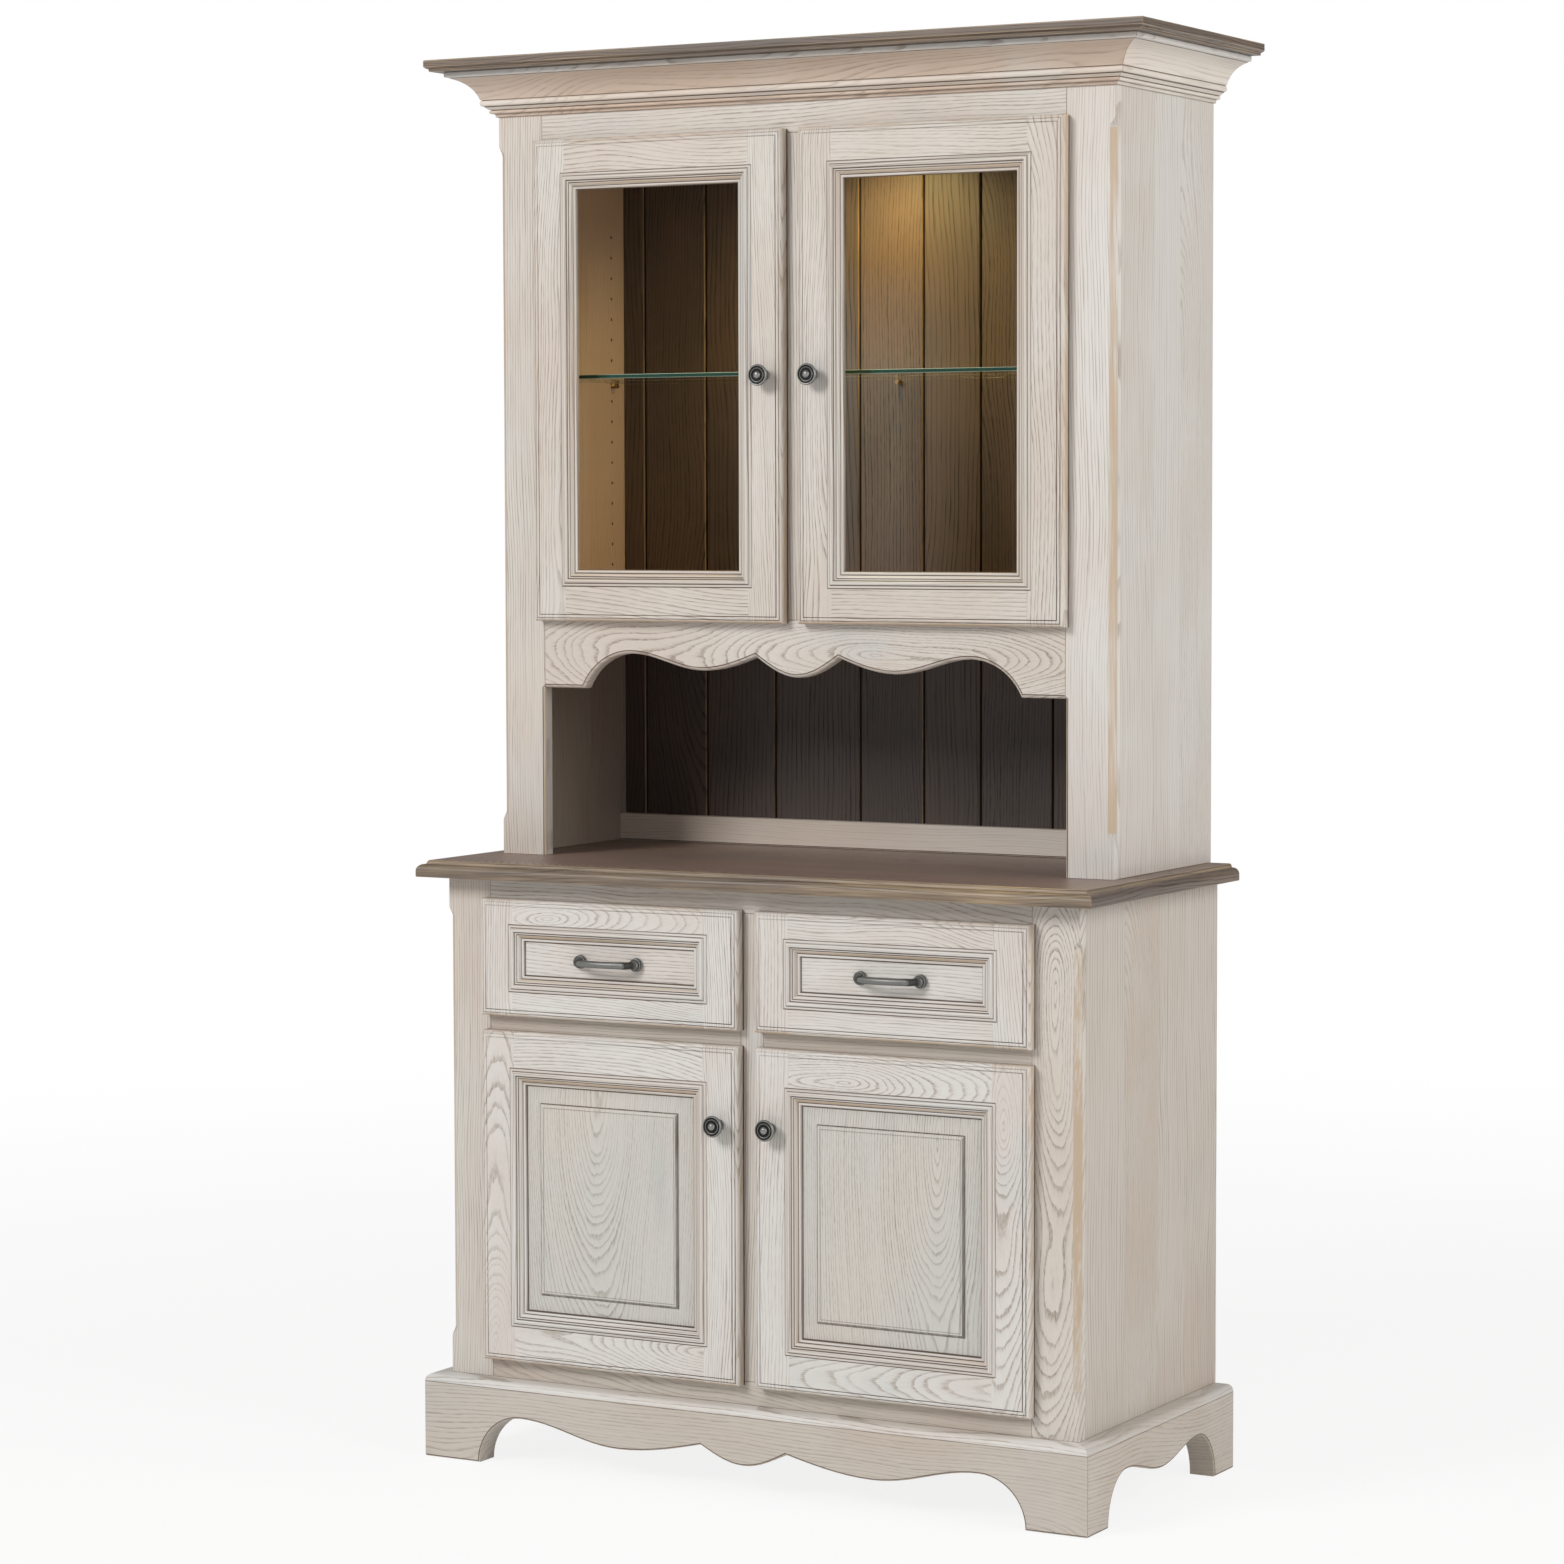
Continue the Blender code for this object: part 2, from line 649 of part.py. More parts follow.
def hutch_carcass(wood, boards):
    half = HUTCH_WIDTH / 2
    low = COUNTER_TOP + GAP
    high = HUTCH_TOP - GAP
    frame_back = HUTCH_DEPTH - FRAME_THICK
    inner = half - BOARD
    fit = inner - GAP
    pins = shelf_pins()
    for key, side in (("left", -1), ("right", 1)):
        x0, x1 = sided(side, inner, half)
        board = add(f"hutch_side_{key}", block(x0, x1, 0.0, frame_back - GAP, low, high), wood)
        with_pins(board, pins[key])
    back = add("hutch_back", plan_outline(back_boards_outline(fit), low, high), boards)
    with_pins(back, pins["back"])
    behind = BACK_BOARDS + GAP
    floor_low = HUTCH_FLOOR_TOP - BOARD
    add("hutch_floor", block(-fit, fit, behind, frame_back - GAP, floor_low, HUTCH_FLOOR_TOP), wood)
    ceiling_high = HUTCH_TOP - CEILING_DROP
    add("hutch_ceiling", block(-fit, fit, behind, frame_back - GAP, ceiling_high - BOARD, ceiling_high), wood)
    add("hutch_back_rail", block(-fit, fit, behind, behind + BOARD, low, low + BACK_RAIL_HEIGHT), wood)


def valance_outline():
    """The shaped rail under the glass doors."""
    half = HUTCH_OPENING_OUT - GAP
    corner = (half - VALANCE_FLAT, VALANCE_LOW)
    arch_top = (VALANCE_ARCH_X, VALANCE_LOW + VALANCE_ARCH_RISE)
    drop = (VALANCE_DROP_X, VALANCE_LOW + VALANCE_DROP_RISE)
    cusp = (VALANCE_CUSP_X, VALANCE_LOW + VALANCE_CUSP_RISE)
    run = corner[0] - arch_top[0]
    radius = (run * run + VALANCE_ARCH_RISE**2) / (2 * VALANCE_ARCH_RISE)
    spread = math.degrees(math.asin(run / radius))
    centre = (arch_top[0], arch_top[1] - radius)
    half_line = joined(
        [(half, HUTCH_FLOOR_TOP), (half, VALANCE_LOW), corner],
        arc(centre, radius, radius, 90 - spread, 90, 10),
        wave(arch_top, drop, 11),
        dip(drop, cusp, 7),
        list(reversed(dip((0.0, VALANCE_LOW + VALANCE_CENTRE_RISE), cusp, 7))),
    )
    return both_ways(half_line)


def hutch_frame(wood):
    half = HUTCH_WIDTH / 2
    low = COUNTER_TOP + GAP
    high = HUTCH_TOP - GAP
    for name, side in (("hutch_stile_left", -1), ("hutch_stile_right", 1)):
        stile = chamfered_stile(
            side * half, side * HUTCH_OPENING_OUT, HUTCH_DEPTH, low, high,
            COUNTER_TOP + HUTCH_CHAMFER_FOOT, HUTCH_TOP - HUTCH_CHAMFER_HEAD,
        )
        add(name, stile, wood)
    rear = HUTCH_DEPTH - FRAME_THICK
    fit = HUTCH_OPENING_OUT - GAP
    add("hutch_top_rail", block(-fit, fit, rear, HUTCH_DEPTH, HUTCH_OPENING_TOP, high), wood)
    add("valance", front_outline(valance_outline(), rear, HUTCH_DEPTH), wood)
    middle = block(
        -HUTCH_OPENING_IN, HUTCH_OPENING_IN, rear, HUTCH_DEPTH,
        HUTCH_FLOOR_TOP + GAP, HUTCH_OPENING_TOP - GAP,
    )
    add("hutch_centre_stile", middle, wood)


def crown_profile():
    """The crown moulding from its foot up: how far out from the hutch, and height."""
    bead_low = 0.0166
    bead_high = 0.0239
    bead_out = 0.0185
    bead = arc((bead_out, (bead_low + bead_high) / 2), 0.0022, (bead_high - bead_low) / 2, -90, 90, 6)
    cove_end = (CROWN_OUT - 0.0070, CROWN_HEIGHT - 0.0090)
    cove = bow((bead_out + 0.0010, bead_high + 0.0008), cove_end, 0.0060, 9)
    foot = bow((0.0020, 0.0), (bead_out, bead_low), -0.0012, 3)
    head = [(CROWN_OUT, CROWN_HEIGHT - 0.0070), (CROWN_OUT, CROWN_HEIGHT)]
    return [(GAP, 0.0)] + foot + bead[1:] + cove + head + [(GAP, CROWN_HEIGHT)]


def crown(wood, dark):
    half = HUTCH_WIDTH / 2
    foot = HUTCH_TOP - CROWN_HEIGHT - GAP
    rings = []
    for side, depth, follows in ((-1, 0.0, 0), (-1, HUTCH_DEPTH, 1), (1, HUTCH_DEPTH, 1), (1, 0.0, 0)):
        rings.append([
            (side * (half + out), at(depth + follows * out), foot + up) for out, up in crown_profile()
        ])
    add("crown_moulding", extrude_through(rings), wood)

    width = HUTCH_WIDTH + 2 * CORNICE_SIDE
    depth = HUTCH_DEPTH + CORNICE_FRONT
    step_up = 0.0035
    round_up = step_up + 0.0030
    crisp = 0.0010
    top = HUTCH_TOP + CORNICE_THICK
    profile = [
        (CORNICE_STEP, HUTCH_TOP), (CORNICE_STEP, HUTCH_TOP + step_up),
        (CORNICE_STEP / 3, HUTCH_TOP + (step_up + round_up) / 2), (0.0, HUTCH_TOP + round_up),
        (0.0, top - crisp), (crisp, top),
    ]
    add("cornice_board", slab(width, depth, profile), dark)


def shelf_and_lamp(glass, lamp):
    fit = HUTCH_WIDTH / 2 - BOARD - SHELF_SIDE_PLAY
    low = COUNTER_TOP + SHELF_RISE + GAP
    front = HUTCH_DEPTH - FRAME_THICK - SHELF_SET_BACK
    rear = BACK_BOARDS + SHELF_SIDE_PLAY
    add("glass_shelf", block(-fit, fit, rear, front, low, low + SHELF_GLASS), glass)

    ceiling = HUTCH_TOP - CEILING_DROP - BOARD
    middle = (BACK_BOARDS + HUTCH_DEPTH - FRAME_THICK) / 2
    steps = 28
    rings = []
    for radius, drop in (
        (LAMP_RADIUS, GAP), (LAMP_RADIUS, LAMP_THICK * 0.6),
        (LAMP_RADIUS * 0.88, LAMP_THICK), (LAMP_RADIUS * 0.70, LAMP_THICK),
        (LAMP_RADIUS * 0.66, LAMP_THICK * 0.75),
    ):
        rings.append([
            (radius * math.cos(math.tau * i / steps), at(middle) + radius * math.sin(math.tau * i / steps),
             ceiling - drop)
            for i in range(steps)
        ])
    add("puck_light", extrude_through(rings), lamp, smooth=True)


# Hardware


def knob(name, x, depth, z, metal, parent):
    """A turned knob: rosette, waist, and a head with a ring round a domed centre."""
    rim = KNOB_RADIUS
    profile = [
        (0.0, GAP), (0.0085, GAP), (0.0085, 0.0025), (0.0060, 0.0045), (0.0052, 0.0100),
        (0.0075, 0.0150), (rim - 0.0015, 0.0175), (rim, 0.0195), (rim, 0.0212), (rim - 0.0015, 0.0232),
        (rim - 0.0042, 0.0240), (rim - 0.0060, 0.0228), (rim - 0.0075, 0.0228), (rim - 0.0090, 0.0246),
        (0.0035, KNOB_REACH - 0.0005), (0.0, KNOB_REACH),
    ]
    add(name, turned(profile, (x, depth, z), KNOB_SEGMENTS), metal, parent, smooth=True)


def pull(name, x, depth, z, metal, parent):
    """A bar pull: two ringed round feet and a slightly bowed bar."""
    half = PULL_SPACING / 2
    bend = 0.009
    reach = PULL_REACH - PULL_RADIUS
    side = [(-half, 0.006)] + arc((-half + bend, reach - bend), bend, bend, 180, 90, 6)
    bar = bow(side[-1], (half - bend, reach), PULL_RISE, 10)
    path = joined(side, bar, [(-a, b) for a, b in reversed(side)])
    sides = 14
    rings = []
    for index, (across, out) in enumerate(path):
        before = Vector(path[max(index - 1, 0)])
        after = Vector(path[min(index + 1, len(path) - 1)])
        along = (after - before).normalized()
        square = Vector((-along.y, along.x))
        ring = []
        for step in range(sides):
            turn = math.tau * step / sides
            point = Vector((across, out)) + square * PULL_RADIUS * math.cos(turn)
            ring.append((x + point.x, at(depth + point.y), z + PULL_RADIUS * math.sin(turn)))
        rings.append(ring)
    handle = add(name, extrude_through(rings), metal, parent, smooth=True)
    foot = PULL_FOOT_RADIUS
    profile = [
        (0.0, GAP), (foot, GAP), (foot, 0.0025), (foot - 0.0020, 0.0038), (foot - 0.0004, 0.0062),
        (foot - 0.0024, 0.0086), (foot - 0.0034, 0.0110), (0.0, 0.0128),
    ]
    feet = []
    for end in (-half, half):
        shape = turned(profile, (x + end, depth, z), 20)
        feet.append(add(f"{name}_foot_{'left' if end < 0 else 'right'}", shape, metal, parent))
    combine(handle, feet, "UNION")


def hinge_arm(name, side, opening, depth, z, metal):
    """The fixed half of a concealed hinge: a plate on the stile's inner edge and an arm into the cup."""
    edge = opening + OVERLAY
    plate_out = opening - GAP
    plate_in = plate_out - HINGE_PLATE
    door_back = depth + FRONT_GAP
    bridge_front = depth - GAP
    tip = door_back + HINGE_CUP_DEPTH - HINGE_TONGUE_CLEAR
    outline = [
        (plate_out, bridge_front - HINGE_PLATE_LENGTH), (plate_in, bridge_front - HINGE_PLATE_LENGTH),
        (plate_in, bridge_front - HINGE_BRIDGE), (edge - HINGE_TONGUE_FAR, bridge_front - HINGE_BRIDGE),
        (edge - HINGE_TONGUE_FAR, tip), (edge - HINGE_TONGUE_NEAR, tip),
        (edge - HINGE_TONGUE_NEAR, bridge_front), (plate_out, bridge_front),
    ]
    low = z - HINGE_ARM_HEIGHT / 2
    add(name, plan_outline([(side * x, d) for x, d in outline], low, low + HINGE_ARM_HEIGHT), metal)


def cup_pockets(frame, side, edge, door_back, heights, finish, parent):
    """Bores the cup of each hinge into the back of the door frame."""
    cutters = []
    for number, z in enumerate(heights, 1):
        centre = (side * (edge - HINGE_CUP_INSET), at(door_back + HINGE_CUP_DEPTH), z)
        bar = cylinder(HINGE_CUP_RADIUS, centre, (0, 1, 0), 2 * HINGE_CUP_DEPTH, 24)
        cutters.append(add(f"{frame.name}_cup_{number}", bar, finish, parent))
    combine(frame, cutters, "DIFFERENCE")


# Doors and drawers


def door_frame(name, rect, mould, slot_low, slot_high, front_plane, wood, parent):
    """A mitre-moulded frame with a slot round its inside for a panel or a pane."""
    rings = [rectangle(rect, inset, front_plane + height) for inset, height in edge_profile()]
    rings += [rectangle(mould, inset, front_plane + FRONT_THICK + height) for inset, height in mould_profile()]
    slot_in = MOULD_WIDTH - SLOT_DEPTH
    for inset, height in (
        (MOULD_WIDTH, slot_high), (slot_in, slot_high), (slot_in, slot_low), (MOULD_WIDTH, slot_low),
        (MOULD_WIDTH, 0.0),
    ):
        rings.append(rectangle(mould, inset, front_plane + height))
    return add(name, extrude_through(rings, closed=True), wood, parent)


def base_door(key, side, wood, metal, steel):
    rect = front_rect(side, BASE_OPENING_IN, BASE_OPENING_OUT, BOTTOM_RAIL_HIGH, MIDDLE_RAIL_LOW)
    mould = shrunk(rect, BASE_DOOR_STILE, BASE_DOOR_STILE, BASE_DOOR_RAIL, BASE_DOOR_RAIL)
    edge = BASE_OPENING_OUT + OVERLAY
    axis = joint_empty(f"base_door_{key}_axis", (side * edge, at(FRONT_PLANE + FRONT_THICK / 2), rect[2]))
    slot_high = FRONT_THICK - MOULD_LIP
    slot_low = slot_high - PANEL_TONGUE - 2 * GAP
    frame = door_frame(f"base_door_frame_{key}", rect, mould, slot_low, slot_high, FRONT_PLANE, wood, axis)
    heights = (rect[2] + BASE_HINGE_INSET, rect[3] - BASE_HINGE_INSET)
    cup_pockets(frame, side, edge, FRONT_PLANE, heights, wood, axis)
    for place, z in zip(("lower", "upper"), heights):
        hinge_arm(f"base_hinge_{key}_{place}", side, BASE_OPENING_OUT, BASE_DEPTH, z, steel)

    start = MOULD_WIDTH - SLOT_DEPTH + PANEL_PLAY
    sight = MOULD_WIDTH + GAP
    field = MOULD_WIDTH + PANEL_BEVEL
    step = 0.0012
    profile = [
        (start, slot_low + GAP), (start, slot_high - GAP), (sight, slot_high - GAP),
        (field, PANEL_EDGE), (field + step, PANEL_FIELD),
    ]
    rings = [rectangle(mould, inset, FRONT_PLANE + height) for inset, height in profile]
    add(f"base_door_panel_{key}", extrude_through(rings), wood, axis)
    knob(
        f"base_door_knob_{key}", side * BASE_KNOB_X, FRONT_PLANE + FRONT_THICK, BASE_KNOB_Z, metal, axis,
    )


def hutch_door(key, side, wood, metal, steel, glass):
    rect = front_rect(side, HUTCH_OPENING_IN, HUTCH_OPENING_OUT, HUTCH_FLOOR_TOP, HUTCH_OPENING_TOP)
    mould = shrunk(rect, HUTCH_DOOR_STILE, HUTCH_DOOR_STILE, HUTCH_DOOR_FOOT, HUTCH_DOOR_HEAD)
    edge = HUTCH_OPENING_OUT + OVERLAY
    axis = joint_empty(
        f"hutch_door_{key}_axis", (side * edge, at(HUTCH_FRONT_PLANE + FRONT_THICK / 2), rect[2]),
    )
    slot_high = GLASS_BACK + GLASS + 2 * GAP
    frame = door_frame(
        f"hutch_door_frame_{key}", rect, mould, GLASS_BACK, slot_high, HUTCH_FRONT_PLANE, wood, axis,
    )
    heights = (rect[2] + HUTCH_HINGE_INSET, rect[3] - HUTCH_HINGE_INSET)
    cup_pockets(frame, side, edge, HUTCH_FRONT_PLANE, heights, wood, axis)
    for place, z in zip(("lower", "upper"), heights):
        hinge_arm(f"hutch_hinge_{key}_{place}", side, HUTCH_OPENING_OUT, HUTCH_DEPTH, z, steel)

    start = MOULD_WIDTH - SLOT_DEPTH + PANEL_PLAY
    rings = [
        rectangle(mould, start, HUTCH_FRONT_PLANE + height)
        for height in (GLASS_BACK + GAP, GLASS_BACK + GAP + GLASS)
    ]
    add(f"hutch_door_glass_{key}", extrude_through(rings), glass, axis)
    knob(
        f"hutch_door_knob_{key}", side * HUTCH_KNOB_X, HUTCH_FRONT_PLANE + FRONT_THICK, HUTCH_KNOB_Z,
        metal, axis,
    )


def drawer(key, side, wood, inside, metal):
    rect = front_rect(side, BASE_OPENING_IN, BASE_OPENING_OUT, MIDDLE_RAIL_HIGH, TOP_RAIL_LOW)
    mould = shrunk(rect, DRAWER_STILE, DRAWER_STILE, DRAWER_RAIL, DRAWER_RAIL)
    middle_x = (rect[0] + rect[1]) / 2
    middle_z = (rect[2] + rect[3]) / 2
    axis = joint_empty(f"drawer_{key}_slide", (middle_x, at(FRONT_PLANE), MIDDLE_RAIL_HIGH + DRAWER_PLAY))
    rings = [rectangle(rect, inset, FRONT_PLANE + height) for inset, height in edge_profile()]
    rings += [rectangle(mould, inset, FRONT_PLANE + FRONT_THICK + height) for inset, height in mould_profile()]
    rings.append(rectangle(mould, MOULD_WIDTH, FRONT_PLANE + DRAWER_PANEL))
    add(f"drawer_front_{key}", extrude_through(rings), wood, axis)

    x0, x1 = sided(side, BASE_OPENING_IN + DRAWER_SIDE_PLAY, BASE_OPENING_OUT - DRAWER_SIDE_PLAY)
    low = MIDDLE_RAIL_HIGH + DRAWER_PLAY
    high = low + DRAWER_HEIGHT
    front = FRONT_PLANE - GAP

    def wall_ring(inset, z):
        return [
            (x0 + inset, at(DRAWER_REAR + inset), z), (x1 - inset, at(DRAWER_REAR + inset), z),
            (x1 - inset, at(front - inset), z), (x0 + inset, at(front - inset), z),
        ]

    walls = [
        wall_ring(0.0, low), wall_ring(0.0, high), wall_ring(DRAWER_SIDE, high),
        wall_ring(DRAWER_SIDE, low + DRAWER_BOTTOM),
    ]
    add(f"drawer_box_{key}", extrude_through(walls), inside, axis)
    pull(f"drawer_pull_{key}", middle_x, FRONT_PLANE + DRAWER_PANEL, middle_z, metal, axis)


def main():
    for leftover in list(bpy.data.objects):
        bpy.data.objects.remove(leftover)
    wood = material("whitewashed_oak", (0.74, 0.69, 0.63), 0.55)
    inside = material("clear_finished_oak", (0.68, 0.58, 0.46), 0.5)
    dark = material("weathered_brown_top", (0.20, 0.155, 0.125), 0.5)
    boards = material("dark_back_boards", (0.13, 0.085, 0.06), 0.5)
    metal = material("pewter", (0.33, 0.32, 0.31), 0.35, metallic=1.0)
    steel = material("zinc_plated_steel", (0.62, 0.62, 0.63), 0.3, metallic=1.0)
    glass = material("clear_glass", (0.85, 0.93, 0.90), 0.02, transmission=1.0)
    lamp = material("white_lamp", (0.90, 0.88, 0.82), 0.4)
    plinth(wood)
    base_carcass(wood, inside)
    base_frame(wood)
    countertop(dark)
    hutch_carcass(wood, boards)
    hutch_frame(wood)
    crown(wood, dark)
    shelf_and_lamp(glass, lamp)
    for key, side in (("left", -1), ("right", 1)):
        drawer(key, side, wood, inside, metal)
        base_door(key, side, wood, metal, steel)
        hutch_door(key, side, wood, metal, steel, glass)


main()
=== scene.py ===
"""Looks of a two-piece china cabinet in whitewashed oak: base, hutch, crown, doors and drawers."""

import json
import math
import random

import bmesh
import bpy
from mathutils import Matrix, Vector

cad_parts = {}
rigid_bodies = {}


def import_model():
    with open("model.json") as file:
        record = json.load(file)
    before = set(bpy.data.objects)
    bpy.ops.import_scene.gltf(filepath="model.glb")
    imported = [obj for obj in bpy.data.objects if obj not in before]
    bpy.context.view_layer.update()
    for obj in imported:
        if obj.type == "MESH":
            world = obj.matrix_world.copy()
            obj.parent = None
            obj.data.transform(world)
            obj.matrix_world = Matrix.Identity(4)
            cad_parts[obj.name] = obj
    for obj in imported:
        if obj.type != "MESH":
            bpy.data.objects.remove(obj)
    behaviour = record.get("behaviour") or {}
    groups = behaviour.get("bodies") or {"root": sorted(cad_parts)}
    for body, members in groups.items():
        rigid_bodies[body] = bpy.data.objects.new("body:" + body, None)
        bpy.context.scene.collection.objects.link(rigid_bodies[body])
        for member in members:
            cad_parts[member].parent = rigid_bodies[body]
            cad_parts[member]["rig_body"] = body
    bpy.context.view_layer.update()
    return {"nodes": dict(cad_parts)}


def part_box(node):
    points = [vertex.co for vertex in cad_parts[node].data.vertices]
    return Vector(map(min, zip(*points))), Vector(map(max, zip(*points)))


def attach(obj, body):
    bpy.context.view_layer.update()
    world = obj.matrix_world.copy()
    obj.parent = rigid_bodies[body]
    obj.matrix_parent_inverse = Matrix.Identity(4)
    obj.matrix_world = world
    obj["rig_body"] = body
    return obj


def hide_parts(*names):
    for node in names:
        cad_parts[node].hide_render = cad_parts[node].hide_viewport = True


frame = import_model()


# Plinth
# Three scrolled aprons of whitewashed oak on bracket feet, mitred at the front corners and glued to a
# plain rear rail. A white wash is rubbed over the open grain, with a brown glaze in the recesses.


def sum_of(operation):
    """The method of a value that adds one kind of Math node to its finish."""
    return lambda first, second: first.finish.worked(operation, first, second)


class Value:
    """A number that varies over a surface."""

    def __init__(self, finish, socket):
        self.finish = finish
        self.socket = socket

    __add__ = __radd__ = sum_of("ADD")
    __sub__ = sum_of("SUBTRACT")
    __mul__ = __rmul__ = sum_of("MULTIPLY")
    __truediv__ = sum_of("DIVIDE")
    __pow__ = sum_of("POWER")

    def __rsub__(self, other):
        return self.finish.worked("SUBTRACT", other, self)


class Finish:
    """The nodes of a material or a world, built round its first surface."""

    def __init__(self, name, kind=bpy.data.materials, surface="Principled BSDF"):
        self.material = kind.new(name)
        self.material.use_nodes = True
        self.tree = self.material.node_tree
        self.surface = self.tree.nodes[surface]
        self.own = Value(self, self.surface.outputs[0])

    def feed(self, socket, value):
        if isinstance(value, Value):
            self.tree.links.new(value.socket, socket)
        elif isinstance(value, tuple) and socket.type == "RGBA":
            socket.default_value = (*value, 1.0)
        else:
            socket.default_value = value

    def node(self, kind, sockets, output=0, **settings):
        made = self.tree.nodes.new(kind)
        for setting, value in settings.items():
            setattr(made, setting, value)
        for socket, value in sockets.items():
            self.feed(made.inputs[socket], value)
        return Value(self, made.outputs[output])

    def worked(self, operation, *numbers):
        return self.node("ShaderNodeMath", dict(enumerate(numbers)), operation=operation)

    def read(self, name, output="Fac"):
        return self.node("ShaderNodeAttribute", {}, output, attribute_name=name)

    def ray(self, kind):
        return self.node("ShaderNodeLightPath", {}, f"Is {kind} Ray")

    def mixed(self, share, first, second):
        return self.node("ShaderNodeMix", {0: share, 6: first, 7: second}, 2, data_type="RGBA")

    def between(self, value, low, high):
        sockets = {"Value": value, "From Min": low, "From Max": high}
        return self.node("ShaderNodeMapRange", sockets, interpolation_type="SMOOTHSTEP")

    def noise(self, place, scale, detail, start):
        sockets = {"Vector": place, "W": start, "Scale": scale, "Detail": detail, "Roughness": 0.55}
        return self.node("ShaderNodeTexNoise", sockets, noise_dimensions="4D")

    def coat(self, **sockets):
        for socket, value in sockets.items():
            self.feed(self.surface.inputs[socket.replace("_", " ")], value)
        return self.material

    def crossed(self, share, first, second):
        """Shows a share of the second surface over the first."""
        end = self.surface.outputs[0].links[0].to_socket
        self.feed(end, self.node("ShaderNodeMixShader", {0: share, 1: first, 2: second}))


def oak(
    name, ground, line, warm, cool, strength, roughness=0.55, glaze_and_painted_shade=(0.125, 0.087, 0.06),
    rubbed_and_painted_light=(0.53, 0.405, 0.29),
):
    """Ring-porous wood: its rings run round the pith that the grain attribute is measured from.

    The ground has warm and cool patches and dark lines of strength; where the tone of a face is below
    zero it takes the rubbed colour, for wear and in some places for painted highlight and shade, and
    above zero it takes the glaze, for glaze lines and in some places for painted shade.
    """
    ring_width = 0.0036
    wood = Finish(name)
    grain = wood.read("grain", "Vector")
    board = wood.read("board")
    tone = wood.read("tone")

    def cloud(across, along, detail, start):
        scales = {0: grain, 1: (across, across, along)}
        stretched = wood.node("ShaderNodeVectorMath", scales, operation="MULTIPLY")
        return wood.noise(stretched, 1.0, detail, board * 41.0 + start)

    parts = [wood.node("ShaderNodeSeparateXYZ", {0: grain}, index) for index in (0, 1)]
    across = parts[0] + (cloud(3.0, 1.8, 1.0, 0.0) - 0.5) * 0.036
    deep = parts[1] + (cloud(3.5, 2.6, 1.0, 7.0) - 0.5) * 0.1
    radius = (across * across + deep * deep) ** 0.5
    years = wood.noise(radius, 120.0, 1.0, board * 41.0 + 43.0)
    uneven = cloud(30.0, 4.0, 1.0, 13.0) * 1.6 + cloud(120.0, 16.0, 1.0, 15.0) * 0.6 + years * 1.3
    phase = wood.worked("FRACT", radius / ring_width + uneven)
    rise = wood.between(phase, 0.0, 0.05)
    early = rise * (wood.between(phase, 0.36, 0.14) * 0.66 + wood.between(phase, 0.75, 0.1) * 0.2)
    pores = wood.between(cloud(900.0, 16.0, 1.0, 19.0), 0.36, 0.62)
    fibres = wood.between(cloud(420.0, 7.0, 2.0, 23.0), 0.3, 0.72)
    strong = wood.between(cloud(12.0, 3.5, 2.0, 29.0) + years * 0.5, 0.52, 0.88)
    dark = early * (0.45 + 0.55 * pores) * (0.38 + 0.72 * strong) + 0.13 * pores * fibres
    pink = wood.between(cloud(6.5, 2.6, 2.0, 31.0) + (board - 0.5) * 0.05, 0.4, 0.64)
    grey = wood.between(cloud(9.0, 4.0, 2.0, 33.0) + (board - 0.5) * 0.05, 0.56, 0.8)
    colour = wood.mixed(grey, wood.mixed(pink, ground, warm), cool)
    colour = wood.mixed(dark * strength, colour, line)
    broken = cloud(130.0, 10.0, 2.0, 37.0)
    patchy = (0.12 + 1.1 * broken + 0.6 * pink) * (0.62 + 0.76 * fibres)
    rubbed_and_painted_light_share = wood.between((0.0 - tone) * patchy, 0.05, 0.95) * (1.0 - 0.45 * dark)
    glaze_and_painted_shade_share = wood.between(tone * (0.55 + 0.9 * broken), 0.05, 0.95)
    colour = wood.mixed(rubbed_and_painted_light_share, colour, rubbed_and_painted_light)
    colour = wood.mixed(glaze_and_painted_shade_share, colour, glaze_and_painted_shade)
    relief = wood.node("ShaderNodeBump", {"Strength": 0.35, "Distance": 0.0004, "Height": 1.0 - dark})
    return wood.coat(Base_Color=colour, Roughness=roughness + dark * 0.15, Normal=relief)


whitewash = oak(
    "whitewashed_oak", ground=(0.685, 0.652, 0.605), line=(0.32, 0.255, 0.205),
    warm=(0.655, 0.585, 0.522), cool=(0.61, 0.61, 0.59), strength=0.95, glaze_and_painted_shade=(0.105, 0.07, 0.046),
)
smooth_wash = oak(
    "smooth_washed_oak", ground=(0.672, 0.65, 0.612), line=(0.4, 0.345, 0.295),
    warm=(0.635, 0.59, 0.54), cool=(0.615, 0.605, 0.58), strength=0.65, rubbed_and_painted_light=(0.56, 0.44, 0.33),
)
# A lighter copy of the whitewash, for painted light on the base fronts, the right hutch stile, the plinth's
# top rounding and the crown's top fillet.
painted_light_wash = oak(
    "painted_light_washed_oak", ground=(0.735, 0.715, 0.685), line=(0.35, 0.295, 0.245),
    warm=(0.7, 0.655, 0.61), cool=(0.64, 0.66, 0.65), strength=0.85, glaze_and_painted_shade=(0.105, 0.07, 0.046),
)
# A darker, warmer copy of the whitewash, for painted shade on the plinth, the base sides and the lower rails.
painted_shade_wash = oak(
    "painted_shade_washed_oak", ground=(0.605, 0.556, 0.5), line=(0.31, 0.25, 0.2),
    warm=(0.575, 0.5, 0.43), cool=(0.56, 0.535, 0.49), strength=0.65,
)


